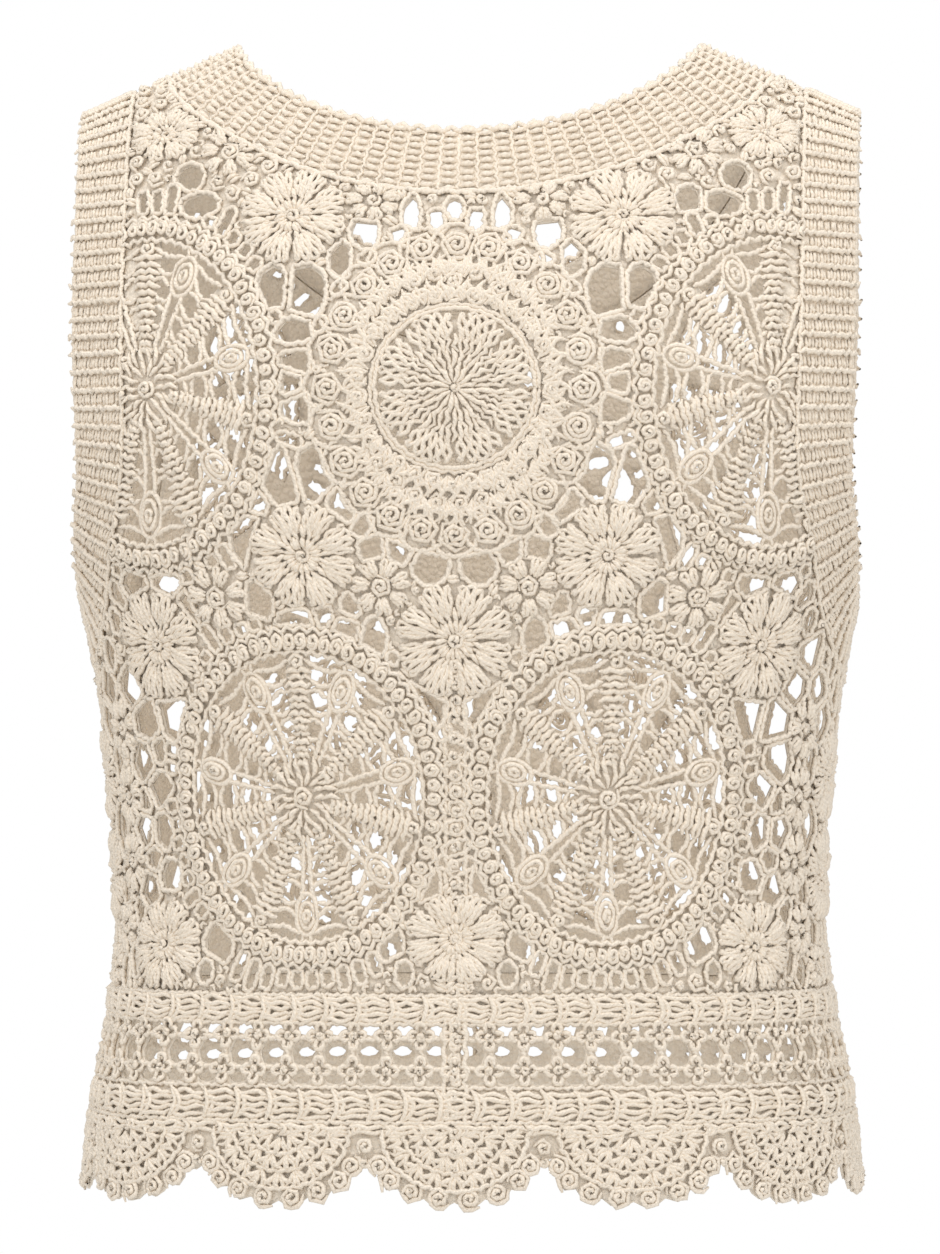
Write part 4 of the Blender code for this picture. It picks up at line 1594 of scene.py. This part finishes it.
def scallop_place(
    centre: float, half_width: float, share: float, out: float
) -> tuple[float, float]:
    """A place on one scallop's arc, an ellipse under its centre.

    Args:
        centre: The scallop's middle.
        half_width: Half its width.
        share: How far round, from -1 to 1.
        out: Millimetres beyond the rosettes' middles.

    Returns:
        Across and up.
    """
    lean = math.pi / 2 * share
    across = centre + (half_width - SCALLOP_ROSETTE + out) * math.sin(lean)
    return across, NOTCH - (SCALLOP_DROP - SCALLOP_ROSETTE + out) * math.cos(lean)


def rosette_edge(
    centre: float, half_width: float, share: float, step: float
) -> list[tuple[float, float]]:
    """The dip before one rosette of the hem, and two places on its round foot.

    Args:
        centre: The scallop's middle.
        half_width: Half its width.
        share: The rosette's place, from -1 to 1.
        step: The share between rosettes.

    Returns:
        Three corners of the outline.
    """
    middle = scallop_place(centre, half_width, share, 0)
    lean = math.pi / 2 * share
    edge = [scallop_place(centre, half_width, share - step / 2, SCALLOP_ROSETTE - 4)]
    for spread in (-0.55, 0.55):
        turn = lean + spread
        edge.append(
            (
                middle[0] + (SCALLOP_ROSETTE - 1) * math.sin(turn),
                middle[1] - (SCALLOP_ROSETTE - 1) * math.cos(turn),
            )
        )
    return edge


def hem_panel(side: Side) -> tuple[Panel, list[tuple[float, float]]]:
    """The hem's flat piece, and the middles of the rosettes along its foot.

    Args:
        side: The side that it hangs on.

    Returns:
        The flat panel, and the middles.
    """
    inset = SEAM / 2
    pitch = side.quarter / SCALLOPS
    edge = side.quarter - inset
    top = [(across, HEM_TOP - inset) for across in np.linspace(-edge, edge, 61)]
    right_seam = [(edge, up) for up in (-414, MESH_MIDDLE - 8, -446, NOTCH)]
    step = 2 / ROSETTES_IN_SCALLOP
    shares = [-1 + step * (i + 0.5) for i in range(ROSETTES_IN_SCALLOP)]
    foot: list[tuple[float, float]] = []
    rosettes = []
    for index in range(-SCALLOPS, SCALLOPS + 1):
        for share in shares:
            middle = scallop_place(index * pitch, pitch / 2, share, 0)
            if abs(middle[0]) < edge - 2:
                foot += rosette_edge(index * pitch, pitch / 2, share, step)
                rosettes.append(middle)
    tip = NOTCH - SCALLOP_DROP + 4
    foot = [(-edge, tip), *foot[1:], (edge, tip)]
    left_seam = [(-across, up) for across, up in right_seam[::-1]]
    panel = Panel(side, np.array(top + right_seam + foot[::-1] + left_seam))
    width = 2 * side.quarter / MESH_HOLES
    for index in range(MESH_HOLES):
        centre = -side.quarter + (index + 0.5) * width
        turns = TAU * np.arange(8) / 8
        panel.holes.append(Motif(centre, MESH_MIDDLE, 5.4, 6.0).at(turns, 1.0))
        for up in MESH_SLITS:
            panel.holes.append(Motif(centre, up, 4.2, 2.3).at(turns, 1.0))
    return panel, rosettes


def draw_shell_band(skein: Skein, top: float, bottom: float, shift: float) -> None:
    """A close band of shells: curved strands that pinch together under raised arcs.

    Args:
        skein: Where the strands go.
        top: The band's upper height.
        bottom: Its lower height.
        shift: How far its shells are moved along, in shells.
    """
    quarter = skein.side.quarter
    width = 2 * quarter / SHELL_CELLS
    share = np.linspace(0, 1, 8)
    strands = int(round((top - bottom) / 2.4))
    middle = (top + bottom) / 2
    half = (top - bottom) / 2
    for cell in range(-1, SHELL_CELLS + 1):
        left = -quarter + (cell + shift) * width
        for strand in range(strands):
            lean = 2 * (strand + 0.5) / strands - 1
            bow = (0.75 + 0.25 * np.sin(math.pi * share)) * lean * (half - 0.2)
            phase = skein.rng.uniform(0, TAU)
            up = middle + bow + 0.6 * np.sin(9 * share + phase)
            height = 0.2 + 0.8 * np.sin(math.pi * share) + 0.3 * (strand % 2)
            skein.add(np.column_stack([left + width * share, up, height]))
        arc = np.linspace(-1, 1, 7)
        for bend, lift in ((2.4, 1.5), (5.2, 1.2)):
            line = np.column_stack(
                [left + bend * (1 - arc**2), middle + half * arc, lift - 0.9 * arc**2]
            )
            skein.add(line)


def draw_mesh(skein: Skein) -> None:
    """The open band: two rows of four-looped knots joined by chain.

    Args:
        skein: Where the strands go.
    """
    quarter = skein.side.quarter
    width = 2 * quarter / MESH_HOLES
    turn = np.linspace(0, TAU, 29)
    reach = 1.3 + 4.2 * np.abs(np.cos(2 * turn)) ** 0.8
    clover = np.column_stack([reach * np.cos(turn), reach * np.sin(turn)])
    for column in range(MESH_HOLES + 1):
        across = -quarter + column * width
        for row in MESH_ROWS:
            place = clover + (across, row)
            skein.add(lifted(place, 0.4 + 0.5 * np.cos(4 * turn)))
            skein.spiral((across, row), 2.8, 0.7)
        post = np.array([[across, MESH_ROWS[0] - 3.5], [across, MESH_ROWS[1] + 3.5]])
        skein.add(wavy(lifted(post, 0.0), 0.4, 3.4))
    for row, sag in ((MESH_ROWS[0], -1.0), (MESH_ROWS[1], 1.0)):
        for column in range(MESH_HOLES):
            share = np.linspace(0, 1, 6)
            across = -quarter + (column + 0.25 + 0.5 * share) * width
            up = row + sag * np.sin(math.pi * share)
            skein.add(np.column_stack([across, up, np.full(6, 0.1)]))


def draw_rows(skein: Skein, ups: Iterable[float]) -> None:
    """Straight rows of chain all the way over a side.

    Args:
        skein: Where the strands go.
        ups: The rows' heights.
    """
    quarter = skein.side.quarter
    for index, up in enumerate(ups):
        line = np.array([[-quarter, up, 0.3], [quarter, up, 0.3]])
        skein.add(wavy(line, 0.45, 4.2, index * 2.0))


def draw_scallops(skein: Skein, rosettes: Iterable[tuple[float, float]]) -> None:
    """The foot: rows of shells that fan down into each scallop, and its edge of rosettes.

    Args:
        skein: Where the strands go.
        rosettes: The rosettes' middles.
    """
    pitch = skein.side.quarter / SCALLOPS
    for index in range(-SCALLOPS, SCALLOPS + 1):
        scallop = Motif(index * pitch, SHELLS_TOP, 35.0, 28.0)
        for shells, near in ((3, 0.1), (6, 0.34), (9, 0.6)):
            for shell in range(shells):
                turn = -math.pi * (shell + 0.5) / shells
                skein.shell(scallop.at(turn, near), turn, 8.0, 5)
        turn = np.linspace(-math.pi, 0, 40)
        for radius in (0.35, 0.61, 0.87):
            skein.add(wavy(lifted(scallop.at(turn, radius), 1.1), 0.5, 4.6, radius))
        for drop, size in ((6.5, 4.6), (13.0, 3.0)):
            skein.spiral(((index + 0.5) * pitch, SHELLS_TOP - drop), size)
    for rosette in rosettes:
        skein.spiral(rosette, SCALLOP_ROSETTE + 0.5)


@dataclass(frozen=True)
class YarnFinish:
    """How a cotton yarn looks."""

    name: str
    light: tuple[float, float, float]
    dark: tuple[float, float, float]
    # dark is a darker tone of the cotton, and also the painted shade in the yarn's grooves and
    # sunken places.
    roughness: float
    sheen: float
    ply_depth: float


LACE_COTTON = YarnFinish(
    name="lace_cotton",
    light=(0.92, 0.825, 0.705),
    dark=(0.85, 0.745, 0.615),
    roughness=0.88,
    sheen=0.25,
    ply_depth=0.35,
)
BASE_COTTON = YarnFinish(
    name="base_cotton",
    light=(0.92, 0.825, 0.705),
    # Here dark is only painted shade, laid in the sunken places of the base's grain.
    dark=(0.87, 0.77, 0.64),
    roughness=0.92,
    sheen=0.15,
    ply_depth=0.75,
)


class Graph:
    """A short way to add and link a material's nodes."""

    def __init__(self, name: str) -> None:
        """Starts a material with its shader.

        Args:
            name: The material's name.
        """
        self.material = bpy.data.materials.new(name)
        self.material.use_nodes = True
        self.tree = self.material.node_tree
        self.shader = self.tree.nodes["Principled BSDF"]

    def add(
        self, kind: str, inputs: dict[str, object] | None = None, **settings: object
    ) -> bpy.types.Node:
        """Adds a node, sets its properties, and sets or links its inputs.

        Args:
            kind: The node's type.
            inputs: What each input gets.
            settings: Its properties.

        Returns:
            The node.
        """
        node = self.tree.nodes.new(kind)
        for name, value in settings.items():
            setattr(node, name, value)
        for name, value in (inputs or {}).items():
            self.feed(node.inputs[name], value)
        return node

    def feed(self, socket: bpy.types.NodeSocket, value: object) -> None:
        """Links a socket to an input, or sets the input's value.

        Args:
            socket: The input.
            value: A socket or a plain value.
        """
        if isinstance(value, bpy.types.NodeSocket):
            self.tree.links.new(value, socket)
        else:
            socket.default_value = value

    def math(self, operation: str, *values: bpy.types.NodeSocket | float) -> bpy.types.NodeSocket:
        """Adds a sum of two values, or another such operation.

        Args:
            operation: Its name.
            values: Sockets or numbers.

        Returns:
            The result's socket.
        """
        node = self.add("ShaderNodeMath", operation=operation)
        for socket, value in zip(node.inputs, values):
            self.feed(socket, value)
        return node.outputs[0]


def strand_material(finish: YarnFinish) -> bpy.types.Material:
    """Cotton for swept strands: two plies twisted together with painted shade in the groove between
    them, tone by strand, soft fuzz.

    Args:
        finish: The cotton.

    Returns:
        The material.
    """
    graph = Graph(finish.name)
    uv = graph.add("ShaderNodeUVMap", uv_map="along")
    split = graph.add("ShaderNodeSeparateXYZ", {"Vector": uv.outputs[0]})
    turn = graph.math("ADD", split.outputs["X"], split.outputs["Y"])
    ply = graph.math("ABSOLUTE", graph.math("SINE", graph.math("MULTIPLY", turn, TAU)))
    place = graph.add("ShaderNodeTexCoord")
    fuzz = graph.add(
        "ShaderNodeTexNoise", {"Vector": place.outputs["Object"], "Scale": 2600.0, "Detail": 3.0}
    )
    patch = graph.add(
        "ShaderNodeTexNoise", {"Vector": place.outputs["Object"], "Scale": 60.0, "Detail": 2.0}
    )
    tone = graph.add("ShaderNodeAttribute", attribute_name="tone")
    blend = graph.math("MULTIPLY", tone.outputs["Fac"], 0.45)
    blend = graph.math("ADD", blend, graph.math("MULTIPLY", patch.outputs["Fac"], 0.35))
    # Painted shade: the colour darkens towards the dark cotton in the groove between the two plies,
    # where the bump sinks.
    groove = graph.math("MULTIPLY", graph.math("SUBTRACT", 1.0, ply), 0.4)
    blend = graph.math("ADD", blend, groove)
    colour = graph.add(
        "ShaderNodeMix",
        {"Factor": blend, "A": (*finish.light, 1.0), "B": (*finish.dark, 1.0)},
        data_type="RGBA",
    )
    height = graph.math("ADD", ply, graph.math("MULTIPLY", fuzz.outputs["Fac"], 0.35))
    bump = graph.add(
        "ShaderNodeBump", {"Strength": finish.ply_depth, "Distance": 0.0006, "Height": height}
    )
    link_shader(graph, finish, colour.outputs[2], bump.outputs[0])
    return graph.material


def base_material(finish: YarnFinish) -> bpy.types.Material:
    """The close cloth under the strands, with a fine crossed grain, painted darker as shade where
    it sinks.

    Args:
        finish: The cotton.

    Returns:
        The material.
    """
    graph = Graph(finish.name)
    place = graph.add("ShaderNodeTexCoord")
    grain_and_shade = graph.add(
        "ShaderNodeTexVoronoi", {"Vector": place.outputs["Object"], "Scale": 430.0}
    )
    fuzz = graph.add(
        "ShaderNodeTexNoise", {"Vector": place.outputs["Object"], "Scale": 1500.0, "Detail": 4.0}
    )
    # Painted shade: the colour darkens towards the dark cotton where the grain's bump sinks.
    blend = graph.math("MULTIPLY", grain_and_shade.outputs["Distance"], 1.1)
    colour = graph.add(
        "ShaderNodeMix",
        {"Factor": blend, "A": (*finish.light, 1.0), "B": (*finish.dark, 1.0)},
        data_type="RGBA",
    )
    height = graph.math("SUBTRACT", graph.math("MULTIPLY", fuzz.outputs["Fac"], 0.4), blend)
    bump = graph.add(
        "ShaderNodeBump", {"Strength": finish.ply_depth, "Distance": 0.0016, "Height": height}
    )
    link_shader(graph, finish, colour.outputs[2], bump.outputs[0])
    return graph.material


def link_shader(
    graph: Graph,
    finish: YarnFinish,
    colour: bpy.types.NodeSocket,
    normal: bpy.types.NodeSocket,
) -> None:
    """Feeds the shader its colour and normal, and sets its constant values.

    Args:
        graph: The material's nodes.
        finish: The cotton.
        colour: The colour's socket.
        normal: The normal's socket.
    """
    shader = graph.shader
    graph.feed(shader.inputs["Base Color"], colour)
    graph.feed(shader.inputs["Normal"], normal)
    shader.inputs["Roughness"].default_value = finish.roughness
    shader.inputs["Specular IOR Level"].default_value = 0.25
    shader.inputs["Sheen Weight"].default_value = finish.sheen
    shader.inputs["Sheen Roughness"].default_value = 0.5
    shader.inputs["Sheen Tint"].default_value = (1.0, 0.95, 0.85, 1.0)


def flat_area(outline: Array) -> float:
    """The area inside a flat outline: half the sum of its corners' cross products."""
    across, up = outline.T
    return abs(np.dot(across, np.roll(up, 1)) - np.dot(up, np.roll(across, 1))) / 2 * MM * MM


@dataclass
class Cottons:
    """The vest's two cottons, and how a finished piece gets one and joins the frame."""

    strands: bpy.types.Material
    close: bpy.types.Material

    def dress(
        self, piece: bpy.types.Object, material: bpy.types.Material, node: str
    ) -> None:
        """Gives a piece its cotton and its body, and hides the solid that it replaces.

        Args:
            piece: The finished mesh.
            material: One of the two cottons.
            node: The solid that it replaces.
        """
        piece.data.materials.append(material)
        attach(piece, BODY)
        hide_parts(node)

    def strand_piece(self, name: str, skein: Skein, node: str) -> bpy.types.Object:
        """Sweeps a skein of lace to a piece and dresses it.

        Args:
            name: The piece's name.
            skein: Its strands.
            node: The solid that it replaces.

        Returns:
            The dressed piece.
        """
        piece = swept_mesh(name, skein)
        self.dress(piece, self.strands, node)
        return piece

    def close_piece(self, name: str, panel: Panel, node: str) -> bpy.types.Object:
        """Makes a panel's close cloth and dresses it.

        Args:
            name: The piece's name.
            panel: The flat panel, with its holes.
            node: The solid that it replaces.

        Returns:
            The dressed piece.
        """
        piece = panel.base(name)
        self.dress(piece, self.close, node)
        return piece


def declare_cut(panel: Panel) -> None:
    """Works out the area of a panel's flat outline, and keeps nothing of it.

    Args:
        panel: The flat panel it was made from.
    """
    float(flat_area(panel.outline))


@dataclass
class LacePanel:
    """One lace panel, back or front: its edges, its motifs, and the named gaps between them."""

    name: str
    side: Side
    neck: NeckEdge
    arm: ArmEdge
    neck_ribs: int
    medallion: Motif
    flowers: tuple[Motif, ...]
    buds: tuple[Motif, ...]
    gaps: tuple[Motif, ...]
    phase: float
    spine_top: float = UNDERARM - 35
    spine_half: float = 5.0
    shoulder_from: tuple[float, float] = (70.0, -66.0)
    medallion_gap: tuple[float, float] = (3.6, -2.0)
    wheel_gap: tuple[float, float] = (2.8, 1.0)
    wheels: list[Motif] = field(default_factory=lambda: both_ways((WHEEL, HALF_WHEEL)))

    def bare(self, places: Array) -> Array:
        """Which places get no gap of the ground: those on the spine and by the shoulders.

        Args:
            places: Rows of across and up.

        Returns:
            Whether each place stays closed.
        """
        across, up = np.abs(places[:, 0]), places[:, 1]
        on_spine = (across < self.spine_half) & (up < self.spine_top)
        return on_spine | ((across > self.shoulder_from[0]) & (up > self.shoulder_from[1]))

    def laid_out(self) -> Panel:
        """Lays the panel out flat, with its motifs placed and each gap shaped.

        Returns:
            The flat panel.
        """
        panel = Panel(self.side, lace_outline(self.side, self.neck, self.arm, self.neck_ribs))
        flowers, buds = both_ways(self.flowers), both_ways(self.buds)
        panel.motifs = [self.medallion, *self.wheels, *flowers, *buds]
        panel.gaps = [gap for gap in both_ways(self.gaps) if panel.fits(gap)]
        rosettes = len(medallion_parts(self.medallion)) - 1
        panel.rim_gaps(self.medallion, rosettes, *self.medallion_gap)
        for wheel in self.wheels:
            panel.rim_gaps(wheel, WHEEL_BLOCKS - 10, *self.wheel_gap)
        panel.fill_gaps(self.bare)
        panel.shape_gaps()
        for wheel in self.wheels:
            panel.holes += wheel_holes(wheel, self.phase)
        panel.holes += medallion_holes(self.medallion)
        return panel

    def skeins(self, panel: Panel) -> Iterator[tuple[str, Skein]]:
        """Draws the panel's strands, one skein for each kind of motif.

        Args:
            panel: The flat panel. Its medallion gives way to the medallion's parts.

        Yields:
            Each skein with the label of its piece.
        """
        panel.motifs[:1] = medallion_parts(self.medallion)
        ground = Skein(self.side, keep=panel.within)
        draw_ground(ground, panel)
        draw_spine(ground, self.spine_top + 12, HEM_TOP)
        yield "ground", ground
        for label, group, draw in (
            ("wheels", self.wheels, partial(draw_wheel, phase=self.phase)),
            ("flowers", both_ways(self.flowers), draw_flower),
            ("buds", both_ways(self.buds), draw_bud),
            ("medallion", [self.medallion], draw_medallion),
        ):
            skein = Skein(self.side, keep=panel.within)
            for motif in group:
                draw(skein, motif)
            yield label, skein

    def build(self, cottons: Cottons) -> None:
        """Builds the panel's cloth and strands, and works out its outline's area.

        Args:
            cottons: What the pieces are dressed in.
        """
        node = f"{self.name}_lace"
        panel = self.laid_out()
        base = cottons.close_piece(f"{self.name}_base", panel, node)
        pieces = [
            cottons.strand_piece(f"{self.name}_{label}", skein, node)
            for label, skein in self.skeins(panel)
        ]
        declare_cut(panel)


@dataclass
class Hem:
    """The hem of one side: close band, open mesh, close band, scallops."""

    name: str
    side: Side
    spine: tuple[float, float] = (HEM_TOP - 4, -474)

    def on_side(self, line: Array) -> Array:
        """Which points of a strand lie between the two side seams."""
        return np.abs(line[:, 0]) <= self.side.quarter + 0.01

    def draw_bands(self, skein: Skein) -> None:
        """The close bands of shells, and the rows of chain between them.

        Args:
            skein: Where the strands go.
        """
        upper, middle, lower = SHELL_BANDS
        draw_shell_band(skein, *upper)
        draw_rows(skein, CHAIN_ROWS)
        draw_shell_band(skein, *middle)
        draw_shell_band(skein, *lower)

    def build(self, cottons: Cottons) -> None:
        """Builds the hem's cloth and strands, and works out its outline's area.

        Args:
            cottons: What the pieces are dressed in.
        """
        panel, rosettes = hem_panel(self.side)
        base = cottons.close_piece(f"{self.name}_base", panel, self.name)
        bands, mesh, foot = (Skein(self.side, keep=self.on_side) for _ in range(3))
        self.draw_bands(bands)
        draw_mesh(mesh)
        draw_scallops(foot, rosettes)
        draw_spine(foot, *self.spine)
        pieces = [
            cottons.strand_piece(f"{self.name}_{label}", skein, self.name)
            for label, skein in (("bands", bands), ("mesh", mesh), ("scallops", foot))
        ]
        declare_cut(panel)


@dataclass(frozen=True)
class BandHalf:
    """One side's half of a ribbed band."""

    label: str
    side: Side
    edge: NeckEdge | ArmEdge
    ribs: int

    def length(self) -> float:
        """How long this half is along its middle, in millimetres."""
        shares = np.linspace(0, self.ribs, 200)
        middle = BandMap(self.edge, self.ribs).at(shares, self.edge.width / 2)
        return run_along(*middle.T)[-1]


@dataclass
class RibbedBand:
    """A ribbed band that closes on itself, from its back half and its front half."""

    name: str
    halves: tuple[BandHalf, BandHalf]
    draw: Callable[[Skein, BandMap], None]
    mirror: int = 1

    def build(self, cottons: Cottons) -> None:
        """Builds the band's cloth and ribs, and works out its length.

        Args:
            cottons: What the pieces are dressed in.
        """
        bases = []
        strands = []
        for half in self.halves:
            band = BandMap(half.edge, half.ribs)
            bases.append(band_base(f"{self.name}_base_{half.label}", half.side, band, self.mirror))
            skein = Skein(half.side)
            self.draw(skein, band)
            strands.append(swept_mesh(f"{self.name}_ribs_{half.label}", skein))
            mirror_mesh(strands[-1], self.mirror)
        base = join_pieces(f"{self.name}_base", bases)
        ribs = join_pieces(f"{self.name}_ribs", strands)
        cottons.dress(base, cottons.close, self.name)
        cottons.dress(ribs, cottons.strands, self.name)
        length = sum(half.length() for half in self.halves)


def vest_parts() -> list[LacePanel | Hem | RibbedBand]:
    """Sizes the vest's sub-assemblies.

    Returns:
        The sub-assemblies, in the order that they are built.
    """
    back = Side(Facing.BACK, "back_depth", reach=170, power=0.8)
    front = Side(Facing.FRONT, "front_depth", reach=200, power=0.85)
    back_neck, front_neck = NeckEdge(back, low=-36), NeckEdge(front, low=-95)
    back_arm, front_arm = ArmEdge(back), ArmEdge(front)
    neck = (
        BandHalf("back", back, back_neck, NECK_RIBS),
        BandHalf("front", front, front_neck, FRONT_NECK_RIBS),
    )
    arm = (
        BandHalf("back", back, back_arm, ARM_RIBS),
        BandHalf("front", front, front_arm, ARM_RIBS),
    )
    return [
        LacePanel(
            name="back",
            side=back,
            neck=back_neck,
            arm=back_arm,
            neck_ribs=NECK_RIBS,
            medallion=BACK_MEDALLION,
            flowers=BACK_FLOWERS,
            buds=BACK_BUDS,
            gaps=UPPER_GAPS + LOWER_GAPS,
            phase=0.0,
        ),
        LacePanel(
            name="front",
            side=front,
            neck=front_neck,
            arm=front_arm,
            neck_ribs=FRONT_NECK_RIBS,
            medallion=FRONT_MEDALLION,
            flowers=FRONT_FLOWERS,
            buds=FRONT_BUDS,
            gaps=LOWER_GAPS,
            phase=0.5,
        ),
        Hem("hem_back", back),
        Hem("hem_front", front),
        RibbedBand("neckband", neck, draw_neck_ribs),
        RibbedBand("armband_right", arm, draw_arm_ribs),
        RibbedBand("armband_left", arm, draw_arm_ribs, mirror=-1),
    ]


def both_ways(motifs: Iterable[Motif]) -> list[Motif]:
    """The motifs and their mirror images; one on the middle line comes once.

    Args:
        motifs: The motifs of one half.

    Returns:
        Those of both halves.
    """
    found = []
    for motif in motifs:
        found.append(motif)
        if motif.across:
            found.append(motif.mirrored())
    return found


def mirror_mesh(piece: bpy.types.Object, mirror: int) -> None:
    """Turns a piece for the wearer's right into one for the left, faces outwards.

    Args:
        piece: The piece.
        mirror: -1 to turn it.
    """
    if mirror < 0:
        mesh = piece.data
        points = np.empty(3 * len(mesh.vertices), dtype=np.float32)
        mesh.vertices.foreach_get("co", points)
        points[::3] *= -1
        mesh.vertices.foreach_set("co", points)
        mesh.flip_normals()
        mesh.update()


def join_pieces(name: str, parts: Sequence[bpy.types.Object]) -> bpy.types.Object:
    """Joins mesh objects into the first, which takes the name.

    Args:
        name: The whole piece's name.
        parts: Its parts.

    Returns:
        The whole piece.
    """
    with bpy.context.temp_override(
        active_object=parts[0], object=parts[0], selected_editable_objects=list(parts)
    ):
        bpy.ops.object.join()
    parts[0].name = name
    parts[0].data.name = name
    return parts[0]


def lace_outline(side: Side, neck: NeckEdge, arm: ArmEdge, neck_ribs: int) -> Array:
    """The lace panel: under the neckband, round the armbands, down the side seams.

    Args:
        side: The side that it lies on.
        neck: The neckline.
        arm: The armhole.
        neck_ribs: How many ribs the neckband has here.

    Returns:
        The outline's corners.
    """
    inset = SEAM / 2
    top = stations(neck, 2 * neck_ribs, NECK_BAND + SEAM)
    right = stations(arm, 2 * ARM_RIBS, ARM_BAND + SEAM)
    shoulder = np.linspace(top[0, 0], right[0, 0], 8)[1:-1]
    ridge = np.stack([shoulder, side.shoulder(shoulder)], -1)
    seam_up = np.linspace(right[-1, 1], HEM_TOP + inset, 21)[1:]
    seam = np.stack([np.full(20, side.quarter), seam_up], -1)
    half = np.concatenate([ridge, right, seam])
    half[:, 0] = np.minimum(half[:, 0], side.quarter - inset)
    bottom = np.linspace(half[-1, 0], -half[-1, 0], 61)[1:-1]
    foot = np.stack([bottom, np.full(59, HEM_TOP + inset)], -1)
    outline = np.concatenate([half, foot, half[::-1] * (-1, 1), top[::-1]])
    outline[:, 1] = np.minimum(outline[:, 1], side.shoulder(outline[:, 0]) - inset)
    return outline


def stations(edge: NeckEdge | ArmEdge, count: int, offset: float) -> Array:
    """Places along a band's outer edge, level with its ribs."""
    shares = even_stations(edge.line(np.linspace(0, 1, 400), edge.width / 2), count)
    return edge.line(shares, offset)


@dataclass(frozen=True)
class Lamp:
    """A round soft lamp that faces the vest's middle."""

    name: str
    place: tuple[float, float, float]
    size: float
    power: float

    def build(self, target: Vector) -> None:
        """Adds the lamp to the scene.

        Args:
            target: The place that it faces.
        """
        data = bpy.data.lights.new(self.name, "AREA")
        data.shape = "DISK"
        data.size = self.size
        data.energy = self.power
        lamp = bpy.data.objects.new(self.name, data)
        lamp.location = self.place
        aim = target - Vector(self.place)
        lamp.rotation_euler = aim.to_track_quat("-Z", "Y").to_euler()
        bpy.context.scene.collection.objects.link(lamp)


@dataclass(frozen=True)
class Studio:
    """The camera, the light and the floor round the vest."""

    turn: float = math.radians(3.5)
    distance: float = 3.2
    height: float = -0.2474
    lens: float = 216.1
    floor_height: float = -1.35
    floor_radius: float = 2.4
    floor_sides: int = 64
    world_light: float = 0.78
    middle: tuple[float, float, float] = (0.0, 0.0, -0.24)
    lamps: tuple[Lamp, ...] = (
        Lamp("key", (-1.1, -2.2, 1.5), 1.6, 17.0),
        Lamp("fill", (1.6, -1.8, 0.2), 1.8, 9.0),
        Lamp("inside", (0.0, -0.45, 1.5), 1.0, 10.0),
    )

    def build(self) -> None:
        """Sets up the camera, the world, the floor and the lamps."""
        self.add_camera()
        self.add_world()
        self.add_floor()
        for lamp in self.lamps:
            lamp.build(Vector(self.middle))

    def add_camera(self) -> None:
        """Stands the camera behind the vest, level, a little to one side."""
        data = bpy.data.cameras.new("camera")
        data.lens = self.lens
        camera = bpy.data.objects.new("camera", data)
        x = self.distance * math.sin(self.turn)
        y = -self.distance * math.cos(self.turn)
        camera.location = (x, y, self.height)
        camera.rotation_euler = (math.pi / 2, 0, self.turn)
        bpy.context.scene.collection.objects.link(camera)
        bpy.context.scene.camera = camera

    def add_world(self) -> None:
        """A white world that lights more softly than the camera sees it."""
        scene = bpy.context.scene
        scene.view_settings.view_transform = "Standard"
        world = bpy.data.worlds.new("studio")
        world.use_nodes = True
        tree = world.node_tree
        back = tree.nodes["Background"]
        back.inputs["Color"].default_value = (1, 1, 1, 1)
        path = tree.nodes.new("ShaderNodeLightPath")
        scale = tree.nodes.new("ShaderNodeMapRange")
        scale.inputs["To Min"].default_value = self.world_light
        scale.inputs["To Max"].default_value = 1.0
        tree.links.new(path.outputs["Is Camera Ray"], scale.inputs["Value"])
        tree.links.new(scale.outputs[0], back.inputs["Strength"])
        scene.world = world

    def add_floor(self) -> None:
        """Lays a plain round floor well below the vest."""
        turn = TAU * np.arange(self.floor_sides) / self.floor_sides
        across, along = self.floor_radius * np.cos(turn), self.floor_radius * np.sin(turn)
        points = np.column_stack([across, along, np.full(self.floor_sides, self.floor_height)])
        mesh = bpy.data.meshes.new("floor")
        mesh.from_pydata(points.tolist(), [], [tuple(range(self.floor_sides))])
        floor = bpy.data.objects.new("floor", mesh)
        bpy.context.scene.collection.objects.link(floor)
        graph = Graph("floor")
        graph.shader.inputs["Base Color"].default_value = (0.85, 0.85, 0.84, 1)
        graph.shader.inputs["Roughness"].default_value = 0.9
        mesh.materials.append(graph.material)


def main() -> None:
    logging.basicConfig(level=logging.INFO, format="%(message)s")
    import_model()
    Studio().build()
    cottons = Cottons(strand_material(LACE_COTTON), base_material(BASE_COTTON))
    for part in vest_parts():
        part.build(cottons)
        LOG.info("%s is built", part.name)


if __name__ == "__main__":
    main()
